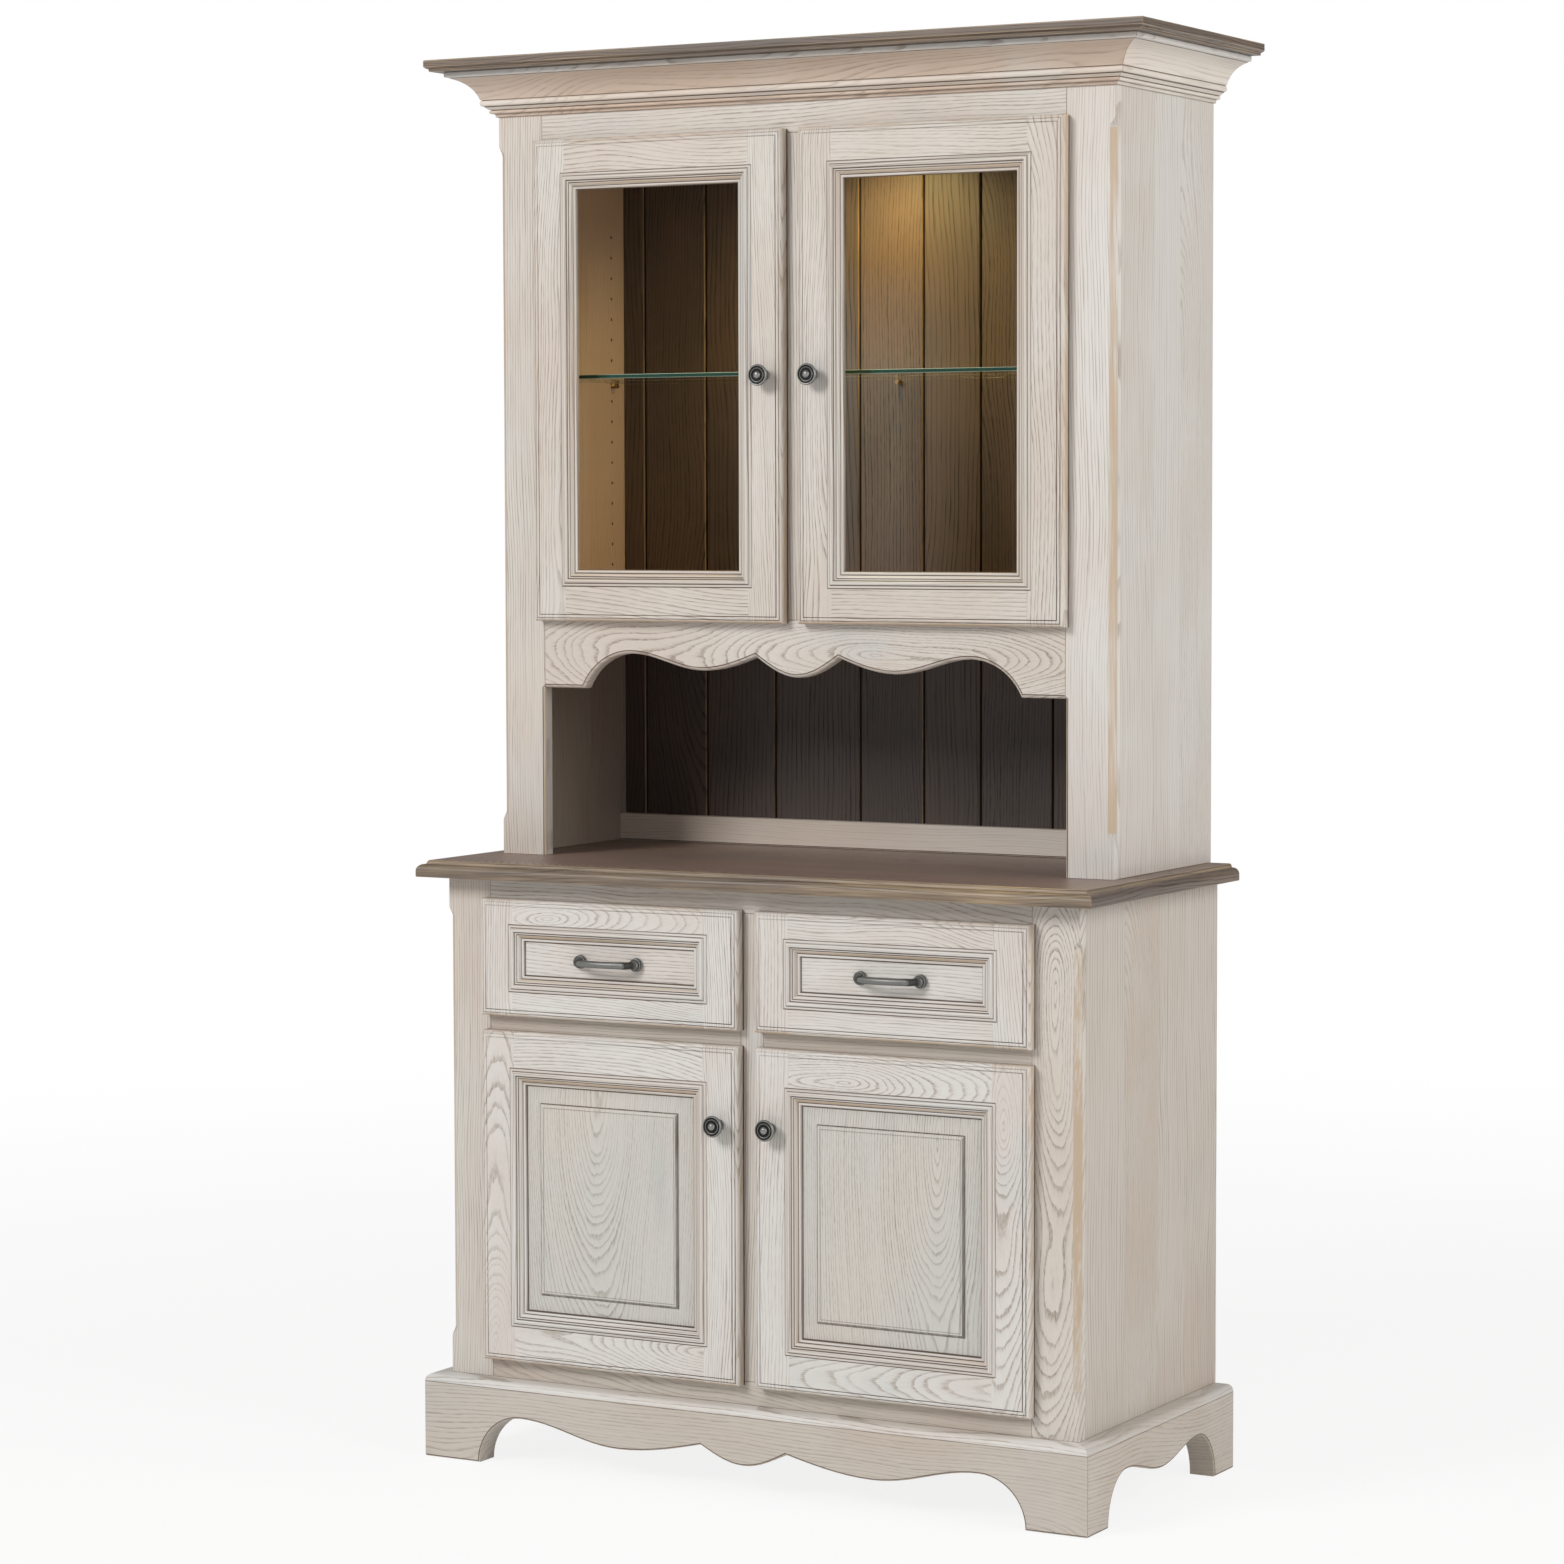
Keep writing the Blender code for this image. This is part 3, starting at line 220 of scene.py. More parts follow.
def marked(bm):
    """Makes room on a shape for the grain, the board's number, and the tone of the finish."""
    for layers, name in (
        (bm.loops.layers.float_vector, "grain"),
        (bm.loops.layers.float, "tone"),
        (bm.faces.layers.float, "board"),
        (bm.verts.layers.float, "ring_tone"),
    ):
        if layers.get(name) is None:
            layers.new(name)
    return bm


UP = Vector((0, 0, 1))


def mid(face):
    return face.calc_center_median()


def corners(faces):
    return [loop for face in faces for loop in face.loops]


def paint(bm, faces, tone):
    """Gives the corners of the faces one tone."""
    layer = bm.loops.layers.float["tone"]
    for loop in corners(faces):
        loop[layer] = tone


def slit(bm, point, normal, dist=1e-6):
    """Splits the faces of a shape along a plane."""
    bmesh.ops.bisect_plane(
        bm, geom=bm.verts[:] + bm.edges[:] + bm.faces[:], dist=dist, plane_co=point, plane_no=normal,
    )


def board_copy(node):
    """The shape of a CAD board, its triangles joined to whole faces."""
    bm = bmesh.new()
    bm.from_mesh(frame["nodes"][node].data)
    marked(bm)
    bmesh.ops.remove_doubles(bm, verts=bm.verts, dist=2e-5)
    bmesh.ops.dissolve_limit(bm, angle_limit=0.004, verts=bm.verts, edges=bm.edges)
    return bm


def eased(bm, width, segments=2, tone=-0.55, where=lambda co: True):
    """Sands the sharp edges whose ends pass where, and gives their new faces the tone: the finish rubbed
    thin, which on the countertop's edge is also a painted highlight.
    """
    sharp = math.radians(32)
    edges = [
        e for e in bm.edges
        if e.is_manifold and e.calc_face_angle() > sharp and all(where(v.co) for v in e.verts)
    ]
    made = bmesh.ops.bevel(
        bm, geom=edges, offset=width, segments=segments, profile=0.5, affect="EDGES", material=-1,
        clamp_overlap=True,
    )
    paint(bm, made["faces"], tone)
    return made["faces"]


def box_of(faces):
    """The two corners of the box round some faces."""
    places = list(zip(*(v.co for f in faces for v in f.verts)))
    return Vector([min(values) for values in places]), Vector([max(values) for values in places])


def lay_grain(bm, name, figure="plain", along=None, flat=None, faces=None):
    """Tells the faces of a board their place in the tree: across and deep from the pith, and along it."""
    grain = bm.loops.layers.float_vector["grain"]
    board = bm.faces.layers.float["board"]
    faces = bm.faces[:] if faces is None else faces
    low, high = box_of(faces)
    size = high - low
    order = sorted(range(3), key=lambda i: size[i])
    along = order[2] if along is None else along
    flat = next(i for i in order if i != along) if flat is None else flat
    across = 3 - along - flat
    pick = random.Random(name)
    number = pick.random()
    side = pick.choice((-1, 1))
    half = size[across] / 2
    if figure == "cathedral":
        pith = (half * pick.uniform(-0.5, 0.5), pick.uniform(0.025, 0.05))
        slope, skew, wide = side * pick.uniform(0.1, 0.2), 0.0, 1.1
    elif figure == "bold":
        pith = (side * (half + pick.uniform(0.02, 0.05)), pick.uniform(0.02, 0.04))
        slope, skew, wide = side * 0.09, pick.uniform(-0.04, 0.04), 1.5
    elif figure == "rift":
        pith = (side * (half + pick.uniform(0.02, 0.05)), pick.uniform(0.02, 0.05))
        slope, skew, wide = side * 0.04, pick.uniform(-0.07, 0.07), 1.0
    else:
        pith = (side * (half + pick.uniform(0.09, 0.16)), pick.uniform(0.0, 0.03))
        slope, skew = side * 0.01, pick.uniform(-0.012, 0.012)
        wide = 2.3 if figure == "broad" else 1.3
    middle = (low + high) / 2
    drawn_out = 0.4 if figure == "straight" else 1.0
    for face in faces:
        face[board] = number
        for loop in face.loops:
            place = loop.vert.co - middle
            length = place[along] * drawn_out
            loop[grain] = (
                (place[across] + pith[0] + skew * length) / wide,
                (place[flat] * 0.35 + pith[1] + slope * length) / wide, length,
            )


def lay_boards(bm, name, count, along, flat, figures):
    """Splits a wide board into glued ones of unequal width, each with a grain of its own."""
    across = 3 - along - flat
    figures = figures.split()
    low, high = box_of(bm.faces)
    pick = random.Random(name)
    shares = [pick.uniform(0.8, 1.25) for _ in range(count)]
    seams = [low[across]]
    for share in shares:
        seams.append(seams[-1] + (high[across] - low[across]) * share / sum(shares))
    normal = Matrix.Identity(3)[across]
    for seam in seams[1:-1]:
        slit(bm, normal * seam, normal, 1e-5)
    for index, (start, end) in enumerate(zip(seams, seams[1:])):
        inside = [f for f in bm.faces if start <= mid(f)[across] <= end]
        lay_grain(bm, f"{name}{index}", figures[index % len(figures)], along, flat, inside)


def mesh_of(bm, name):
    """The mesh that a shape is kept in."""
    mesh = bpy.data.meshes.new(name)
    bm.to_mesh(mesh)
    bm.free()
    return mesh


def placed(data):
    """An object of the scene that shows a mesh, a light or a camera."""
    thing = bpy.data.objects.new(data.name, data)
    bpy.context.collection.objects.link(thing)
    return thing


def shown(bm, node, materials, name=None, replaces=True):
    """Adds the finished piece to the scene: it rides with its CAD node's body and stands for that node."""
    bm.normal_update()
    mesh = mesh_of(bm, name or f"{node}_finished")
    for material in materials if isinstance(materials, list) else [materials]:
        mesh.materials.append(material)
    mesh.shade_smooth()
    mesh.set_sharp_from_angle(angle=math.radians(34))
    piece = placed(mesh)
    weighted = piece.modifiers.new("flat faces stay flat", "WEIGHTED_NORMAL")
    weighted.keep_sharp = True
    weighted.weight = 80
    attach(piece, frame["nodes"][node]["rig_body"])
    if replaces:
        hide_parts(node)


def finished(node, materials, width=0.0008, tone=-0.55, slot="whitewashed_oak", count=0, **grain):
    """Shows a CAD board with sanded edges; count is how many boards it is glued from."""
    bm = board_copy(node)
    eased(bm, width, tone=tone)
    if count:
        lay_boards(bm, node, count, **grain)
    else:
        lay_grain(bm, node, **grain)
    shown(bm, node, materials)


def scored(bm, level, width, tone, facing):
    """Gives a level band one tone, on the faces that look the way facing points."""
    for edge in (level - width / 2, level + width / 2):
        slit(bm, UP * edge, UP)
    bm.normal_update()
    band = [f for f in bm.faces if abs(mid(f).z - level) < width / 2]
    paint(bm, [f for f in band if f.normal.dot(facing) > 0.7], tone)


def sharp_start(bm, faces, axis, level):
    """Paints a fine dark line on the faces where a round-over starts on the face at the level."""
    paint(bm, [f for f in faces if any(abs(v.co[axis] - level) < 1e-5 for v in f.verts)], 0.8)


plinth_low, plinth_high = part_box("plinth_front")
for node, facing in (
    ("plinth_front", Vector((0, -1, 0))),
    ("plinth_side_left", Vector((-1, 0, 0))),
    ("plinth_side_right", Vector((1, 0, 0))),
):
    bm = board_copy(node)
    outer = box_of(bm.faces)[max(facing) > 0]
    axis = 1 if abs(facing.y) > 0 else 0

    def under_face(co):
        return abs(co[axis] - outer[axis]) < 1e-5 and co.z < plinth_high.z - 0.03

    def at_mitre(co):
        return abs(abs(co.x) - plinth_high.x) < 1e-4 and abs(co.y - plinth_low.y) < 1e-4

    sharp_start(bm, eased(bm, 0.003, 3, -0.45, under_face), axis, outer[axis])
    eased(bm, 0.0006, 1, 0.6, at_mitre)
    eased(bm, 0.0008)
    score = plinth_high.z - 0.011
    scored(bm, score, 0.0014, 0.55, facing)
    lay_grain(bm, node, "bold")
    # The top rounding above the score line takes a lighter finish as a painted highlight; the rest takes the
    # darker, warmer copy as painted shade.
    for face in bm.faces:
        face.material_index = 1 if mid(face).z > score + 0.0007 else 0
    shown(bm, node, [painted_shade_wash, painted_light_wash if axis == 1 else smooth_wash])

finished("plinth_back", painted_shade_wash, 0.001)


# Base carcass
# The sides are glued up from whitewashed oak boards, and the floor, the shelf and the thin back are
# clear-finished oak. All of them are housed and glued between the sides.

for node in ("base_side_left", "base_side_right"):
    finished(node, painted_shade_wash, count=4, along=2, flat=0, figures="broad bold broad broad")

clear_oak = oak(
    "clear_oak", ground=(0.56, 0.42, 0.265), line=(0.27, 0.165, 0.085), warm=(0.5, 0.35, 0.205),
    cool=(0.54, 0.42, 0.29), glaze_and_painted_shade=(0.1, 0.06, 0.035), rubbed_and_painted_light=(0.6, 0.46, 0.3), strength=0.5,
    roughness=0.45,
)
for node in ("base_floor", "base_shelf"):
    finished(node, clear_oak, 0.001, 0.0, "clear_oak", 4, along=0, flat=2, figures="plain cathedral")
finished("base_back", clear_oak, 0.0008, 0.0, "clear_oak", 7, along=2, flat=1, figures="cathedral plain")


# Drawer deck
# A clear oak board across the carcass, with glued guide strips that the drawer boxes run between.

finished("drawer_deck", clear_oak, 0.0007, 0.0, "clear_oak", figure="rift", along=1, flat=2)


# Base face frame
# Solid oak rails and stiles on the front of the carcass. The outer corners have a stopped chamfer,
# and the middle rail and centre stile are half-lapped.


def chamfers_rubbed(bm):
    """Rubs the finish thin on the stopped chamfers, and leaves glaze at their ends."""
    bm.normal_update()
    slanted = [f for f in bm.faces if abs(f.normal.x) > 0.2 and f.normal.y < -0.2]
    paint(bm, slanted, -0.85)
    paint(bm, [f for f in slanted if abs(f.normal.z) > 0.15], 0.35)


for node, figure in (
    ("base_stile_left", "plain"),
    ("base_stile_right", "cathedral"),
    ("base_top_rail", "bold"),
    ("base_middle_rail", "plain"),
    ("base_bottom_rail", "bold"),
    ("base_centre_stile", "plain"),
):
    bm = board_copy(node)
    chamfers_rubbed(bm)
    eased(bm, 0.0007)
    lay_grain(bm, node, figure, flat=1)
    lower = node in ("base_middle_rail", "base_bottom_rail")
    shown(bm, node, painted_shade_wash if lower else whitewash)


# Countertop
# Weathered brown oak boards glued side by side, with a rounded and stepped edge on three sides.

weathered = oak(
    "weathered_top", ground=(0.26, 0.182, 0.15), line=(0.075, 0.052, 0.042), warm=(0.295, 0.202, 0.156),
    cool=(0.225, 0.174, 0.148), glaze_and_painted_shade=(0.045, 0.034, 0.028), rubbed_and_painted_light=(0.4, 0.3, 0.195), strength=0.7,
    roughness=0.36,
)
weathered_edge = oak(
    "weathered_edge", ground=(0.135, 0.104, 0.083), line=(0.045, 0.031, 0.025), warm=(0.18, 0.13, 0.092),
    cool=(0.13, 0.106, 0.088), glaze_and_painted_shade=(0.045, 0.034, 0.028), rubbed_and_painted_light=(0.4, 0.3, 0.192), strength=1.0,
    roughness=0.42,
)


def edge_wear_and_painted_light(bm, front, ledge, side):
    """Gives the front edge of a top, the narrow ledge above it and the side edges their tones: the
    ledge's is a painted highlight and the sides' a painted shade; the front's is wear below zero and
    painted shade above it.
    """
    top = box_of(bm.faces)[1].z
    bm.normal_update()
    for face in bm.faces:
        flat = face.normal.z > 0.9
        high = mid(face).z > top - 0.001
        tone = front if face.normal.y < -0.3 else (side if abs(face.normal.x) > 0.3 else 0.0)
        face.material_index = 0 if flat and high else 1
        paint(bm, [face], ledge if flat and not high else tone)


def edge_grain(bm, name):
    """Runs the grain of the edge faces of a top along each edge."""
    bm.normal_update()
    edges = [f for f in bm.faces if f.material_index == 1 and abs(f.normal.z) < 0.97]
    long_edge = [f for f in edges if abs(f.normal.x) <= 0.5]
    lay_grain(bm, f"{name}_front", "plain", along=0, flat=1, faces=long_edge)
    for side in (-1, 1):
        end = [f for f in edges if f.normal.x * side > 0.5]
        lay_grain(bm, f"{name}_end", "plain", along=1, flat=0, faces=end)


bm = board_copy("countertop")
# On the countertop the rubbed ledge and arrises are painted highlights, the glazed sides painted shade, and
# the golden front is wear.
edge_wear_and_painted_light(bm, -0.48, -0.25, 0.1)
eased(bm, 0.0012, tone=-0.7)
lay_boards(bm, "countertop", 5, along=0, flat=2, figures="cathedral plain rift")
edge_grain(bm, "countertop")
shown(bm, "countertop", [weathered, weathered_edge])


# Hutch carcass
# Whitewashed oak sides, stained inside, with rows of shelf pin holes. A floor, a ceiling board and a
# pale rail along the counter are glued between them; the grooved back boards are stained dark brown.


def cylinders(places, radius, length, axis, steps):
    """Round bars through the places, along one axis, in one mesh."""
    bm = bmesh.new()
    turn = UP.rotation_difference(axis).to_matrix().to_4x4()
    for place in places:
        bmesh.ops.create_cone(
            bm, cap_ends=True, segments=steps, radius1=radius, radius2=radius, depth=length,
            matrix=Matrix.Translation(place) @ turn,
        )
    return bm


def bored(bm, cutter):
    """The first shape with the second one bored out of it."""
    pair = []
    for shape in (bm, cutter):
        bmesh.ops.recalc_face_normals(shape, faces=shape.faces)
        pair.append(placed(mesh_of(shape, "boring")))
    cut = pair[0].modifiers.new("bore", "BOOLEAN")
    cut.operation = "DIFFERENCE"
    cut.solver = "EXACT"
    cut.object = pair[1]
    bpy.context.view_layer.update()
    result = bmesh.new()
    result.from_mesh(pair[0].evaluated_get(bpy.context.evaluated_depsgraph_get()).to_mesh())
    for item in pair:
        bpy.data.objects.remove(item)
    return result


stain_wear_and_shade = {"glaze_and_painted_shade": (0.03, 0.02, 0.015), "rubbed_and_painted_light": (0.43, 0.33, 0.235), "roughness": 0.48}
stained = oak(
    "brown_stained_oak", ground=(0.65, 0.495, 0.43), line=(0.375, 0.265, 0.205),
    warm=(0.605, 0.44, 0.36), cool=(0.605, 0.475, 0.42), strength=0.5, **stain_wear_and_shade,
)
# A darker copy of the brown stain, for painted shade inside the niche below the hutch floor.
niche_painted_shade_stain = oak(
    "niche_painted_shade_oak", ground=(0.38, 0.32, 0.262), line=(0.2, 0.155, 0.12), warm=(0.35, 0.28, 0.225),
    cool=(0.35, 0.315, 0.27), strength=0.6, **stain_wear_and_shade,
)
# A lighter, warmer copy of the whitewash, for painted light on the crown and on the rail along the counter.
painted_light_pale_wash = oak(
    "painted_light_pale_oak", ground=(0.74, 0.68, 0.615), line=(0.4, 0.32, 0.25), warm=(0.7, 0.61, 0.53),
    cool=(0.69, 0.65, 0.6), rubbed_and_painted_light=(0.66, 0.6, 0.53), strength=0.45,
)
bronze = Finish("bronze_pins").coat(Base_Color=(0.3, 0.2, 0.1), Metallic=0.9, Roughness=0.35)
hutch_low, hutch_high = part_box("hutch_side_left")
lowest_hole = 1.3393
hole_pitch = 0.032
hole_levels = [lowest_hole + hole_pitch * step for step in range(17)]
side_thick = 0.019
shelf_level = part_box("glass_shelf")[0].z
hole_depths = (hutch_high.y - 0.049, hutch_low.y + 0.047)
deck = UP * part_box("hutch_floor")[0].z
for node, side in (("hutch_side_left", -1), ("hutch_side_right", 1)):
    bm = board_copy(node)
    inner = side * (abs(hutch_low.x) - side_thick)
    holes = [(inner, y, z) for y in hole_depths for z in hole_levels if abs(z - shelf_level) > 0.016]
    bm = marked(bored(bm, cylinders(holes, 0.0025, 0.02, Vector((1, 0, 0)), 16)))
    low, high = box_of(bm.faces)
    eased(bm, 0.0008, where=lambda co: min(abs(co.y - low.y), abs(co.y - high.y)) < 1e-4)
    lay_boards(bm, node, 3, along=2, flat=0, figures="broad broad bold")
    # The faces inside the shelf pin holes are painted dark as painted shade.
    small = [f for f in bm.faces if f.calc_area() < 3e-5]
    paint(bm, [f for f in small if abs(mid(f).x - inner) > 0.0005], 1.0)
    slit(bm, deck, UP)
    bm.normal_update()
    for face in bm.faces:
        centre = mid(face)
        past = abs(inner) - side * centre.x
        # Inside faces below the hutch floor take the darker copy of the stain as painted shade.
        stain = 1 if centre.z > deck.z else 3
        face.material_index = 2 if past > 0.0004 else (stain if face.normal.x * side < -0.3 else 0)
    shown(bm, node, [smooth_wash, stained, bronze, niche_painted_shade_stain])

for node, figure, finish in (
    ("hutch_floor", "plain", stained),
    ("hutch_ceiling", "rift", stained),
    ("hutch_back_rail", "plain", painted_light_pale_wash),
):
    bm = board_copy(node)
    if finish is painted_light_pale_wash:
        scored(bm, hutch_low.z + 0.0012, 0.0024, 1.0, Vector((0, -1, 0)))
    eased(bm, 0.001)
    lay_grain(bm, node, figure, along=0)
    shown(bm, node, finish)

dark_wear_and_light = {"glaze_and_painted_shade": (0.01, 0.007, 0.005), "rubbed_and_painted_light": (0.28, 0.18, 0.095), "roughness": 0.45}
dark_boards = oak(
    "dark_back_boards", ground=(0.092, 0.069, 0.06), line=(0.02, 0.014, 0.011), warm=(0.122, 0.083, 0.064),
    cool=(0.058, 0.05, 0.046), strength=1.0, **dark_wear_and_light,
)
# A darker copy of the back boards, for painted shade in the niche below the hutch floor.
niche_painted_shade_boards = oak(
    "niche_painted_shade_back_boards", ground=(0.064, 0.047, 0.039), line=(0.016, 0.01, 0.008),
    warm=(0.084, 0.054, 0.041), cool=(0.048, 0.041, 0.036), strength=1.0, **dark_wear_and_light,
)
bm = board_copy("hutch_back")
low, high = box_of(bm.faces)
face_y = min(v.co.y for v in bm.verts if abs(v.co.x) > 0.1)
ends = [v.co for v in bm.verts if abs(v.co.z - low.z) < 1e-4]
groove_x = sorted({round(co.x, 4) for co in ends if face_y + 0.003 < co.y < high.y - 0.003})
groove_half = 0.0016
seams = [low.x] + groove_x + [high.x]
figures = "broad bold broad broad bold broad bold broad".split()
for index, (start, end) in enumerate(zip(seams, seams[1:])):
    plank = [f for f in bm.faces if start < mid(f).x < end]
    if plank:
        lay_grain(bm, f"back_board_{index}", figures[index % 8], along=2, flat=1, faces=plank)
for seam in groove_x:
    for x in (seam - groove_half, seam + groove_half):
        slit(bm, (x, 0, 0), (1, 0, 0))
slit(bm, deck, UP)
bm.normal_update()
for face in bm.faces:
    centre = mid(face)
    # Each groove is painted dark inside as painted shade, with a painted highlight on its left wall and a
    # little painted shade on its right wall.
    for seam in groove_x:
        if abs(centre.x - seam) < 0.0035 and abs(face.normal.x) > 0.3:
            painted_wall_light = -1.0 if centre.x < seam else 0.2
            paint(bm, [face], 1.0 if abs(centre.x - seam) < groove_half else painted_wall_light)
    # Faces below the hutch floor take the darker niche copy as painted shade.
    in_niche = centre.z < deck.z and face.normal.y < 0.5
    face.material_index = 1 if centre.y < face_y - 0.0003 else (2 if in_niche else 0)
shown(bm, "hutch_back", [dark_boards, bronze, niche_painted_shade_boards])


# Hutch face frame and valance
# Stiles with a long stopped chamfer, a top rail behind the crown, a centre stile between the doors
# and the valance, sawn to scallops from one wide board, with its lower edge rounded over.

for node, figure in (
    ("hutch_stile_left", "plain"),
    ("hutch_stile_right", "plain"),
    ("hutch_top_rail", "bold"),
    ("hutch_centre_stile", "plain"),
):
    bm = board_copy(node)
    if node.startswith("hutch_stile"):
        low, high = box_of(bm.faces)
        inner = high.x if node.endswith("left") else low.x
        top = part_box("valance")[0].z
        slit(bm, UP * top, UP)
        rounded = eased(
            bm, 0.0044, 4, -0.35,
            lambda co: abs(co.x - inner) < 1e-5 and abs(co.y - low.y) < 1e-5 and co.z < top + 1e-5,
        )
        sharp_start(bm, rounded, 1, low.y)
    chamfers_rubbed(bm)
    eased(bm, 0.0008)
    lay_grain(bm, node, figure, flat=1)
    shown(bm, node, painted_light_wash if node == "hutch_stile_right" else whitewash)

bm = board_copy("valance")
low, high = box_of(bm.faces)
rounded = eased(bm, 0.0056, 5, -0.25, lambda co: abs(co.y - low.y) < 1e-5 and co.z < high.z - 0.03)
sharp_start(bm, rounded, 1, low.y)
eased(bm, 0.0008)
lay_grain(bm, "valance", "cathedral", flat=1)
shown(bm, "valance", whitewash)


# Crown moulding and cornice board
# A whitewashed cove moulding with a bead, mitred round the front and sides of the hutch, and a
# weathered brown board fixed on top of it.


def quarter(centre, radius_in, radius_up, start, end, steps, tone):
    """Points of a curved stretch of a profile, with one tone."""
    turns = [math.radians(start + (end - start) * i / steps) for i in range(steps + 1)]
    return [(centre[0] + radius_in * math.cos(a), centre[1] + radius_up * math.sin(a), tone) for a in turns]


def toned(bm, holes=0):
    """Closes holes, and carries the tones of the rings to the faces; where a ring is rubbed, faces that
    look down take more of the darker rubbed colour as painted shade.
    """
    tone = bm.verts.layers.float["ring_tone"]
    layer = bm.loops.layers.float["tone"]
    bmesh.ops.holes_fill(bm, edges=[e for e in bm.edges if e.is_boundary], sides=holes)
    bmesh.ops.recalc_face_normals(bm, faces=bm.faces)
    bm.normal_update()
    for face in bm.faces:
        painted_shade_under = 0.45 if face.normal.z < -0.12 and face.normal.y < 0.05 else 0.0
        for loop in face.loops:
            loop[layer] = loop.vert[tone] - (painted_shade_under if loop.vert[tone] < -0.25 else 0.0)


# A darker tan copy of the whitewash, for painted shade on the front of the crown.
painted_shade_tan_wash = oak(
    "painted_shade_tan_oak", ground=(0.655, 0.54, 0.45), line=(0.34, 0.245, 0.18), warm=(0.6, 0.47, 0.375),
    cool=(0.62, 0.55, 0.48), rubbed_and_painted_light=(0.64, 0.56, 0.48), strength=0.7,
)
profile = [(0.0002, 0.0, 0.0), (0.0024, 0.0, 0.6), (0.003, 0.0006, 0.5), (0.0034, 0.0012, 0.0)]
profile += [(0.0038, 0.0044, 0.0), (0.0044, 0.0049, 0.9), (0.0054, 0.005, 0.9), (0.006, 0.0053, 0.1)]
profile += quarter((0.0079, 0.0076), 0.0026, 0.0025, -70, 95, 6, 0.0)
profile += [(0.0084, 0.0106, 0.9), (0.0094, 0.0109, 0.9), (0.0104, 0.011, 0.0), (0.0139, 0.0136, 0.0)]
profile += [(0.0148, 0.0144, 0.2), (0.0156, 0.0152, 1.0), (0.0164, 0.0158, 1.0)]
profile += quarter((0.0181, 0.0203), 0.0026, 0.004, -80, 88, 8, -0.05)
profile += [(0.0182, 0.0249, 1.0), (0.0192, 0.0252, 1.0)]
for step in range(13):
    share = step / 12
    sag = 0.024 * share * (1 - share)
    profile.append((0.0202 + 0.0323 * share - 0.692 * sag, 0.0254 + 0.031 * share + 0.722 * sag, 0.0))
profile += [(0.0531, 0.0571, 0.9), (0.0541, 0.0573, 0.8), (0.0552, 0.0576, 0.0), (0.0578, 0.0581, 0.0)]
profile += [(0.0592, 0.0588, -0.1), (0.0595, 0.06, -0.1), (0.0595, 0.064, 0.0), (0.059, 0.0654, 0.5)]
profile += [(0.0002, 0.0654, 0.0)]
low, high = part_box("crown_moulding")
crown_reach = 0.0595
half = high.x - crown_reach
bm = marked(bmesh.new())
ring_tone = bm.verts.layers.float["ring_tone"]
for out, up, shade in profile:
    bm.verts.new((-half - out, high.y, low.z + up))[ring_tone] = shade
bm.verts.ensure_lookup_table()
for index in range(len(profile)):
    bmesh.ops.contextual_create(bm, geom=[bm.verts[index - 1], bm.verts[index]])
cap = bmesh.ops.contextual_create(bm, geom=bm.edges[:])["faces"]
for bend in (
    lambda co: (co.x, low.y + crown_reach + co.x + half, co.z),
    lambda co: (-co.x, co.y, co.z),
    lambda co: (co.x, high.y, co.z),
):
    made = bmesh.ops.extrude_face_region(bm, geom=cap)["geom"]
    cap = [item for item in made if isinstance(item, bmesh.types.BMFace)]
    for v in cap[0].verts:
        v.co = bend(v.co)
toned(bm)
for side in (-1, 1):
    mitre = Vector((side, 1.0, 0.0)).normalized()
    corner = Vector((side * high.x, low.y, 0.0))
    for shift in (-0.0004, 0.0004):
        slit(bm, corner + mitre * shift, mitre)
    paint(bm, [f for f in bm.faces if abs((mid(f) - corner).dot(mitre)) < 0.0004], 0.6)
bead_high = 0.0105
cove_low = 0.0253
cove_high = 0.0565
lengths = {"left": [], "right": [], "front": []}
for face in bm.faces:
    place = mid(face)
    gaps = {"left": place.x - low.x, "right": high.x - place.x, "front": place.y - low.y}
    key = min(gaps, key=gaps.get)
    lengths[key].append(face)
    rise = place.z - low.z
    # The top of the crown takes the lighter copy as a painted highlight, and the front below and above the
    # bead the tan copy as painted shade.
    if rise > cove_high:
        face.material_index = 2
    elif key == "front" and not bead_high < rise < cove_low:
        face.material_index = 1
for key, along, figure in (("left", 1, "plain"), ("right", 1, "plain"), ("front", 0, "bold")):
    lay_grain(bm, f"crown_{key}", figure, along=along, flat=2, faces=lengths[key])
shown(bm, "crown_moulding", [painted_light_pale_wash, painted_shade_tan_wash, painted_light_wash])

bm = board_copy("cornice_board")
# On the cornice board the glazed front and sides are painted shade.
edge_wear_and_painted_light(bm, 0.1, 0.0, 0.2)
eased(bm, 0.001, tone=-0.6)
lay_boards(bm, "cornice_board", 4, along=0, flat=2, figures="plain cathedral")
edge_grain(bm, "cornice_board")
shown(bm, "cornice_board", [weathered, weathered_edge])


# Glass shelf and panes
# Clear float glass, 6 mm for the shelf and 4 mm in the doors; a polished edge shows green.

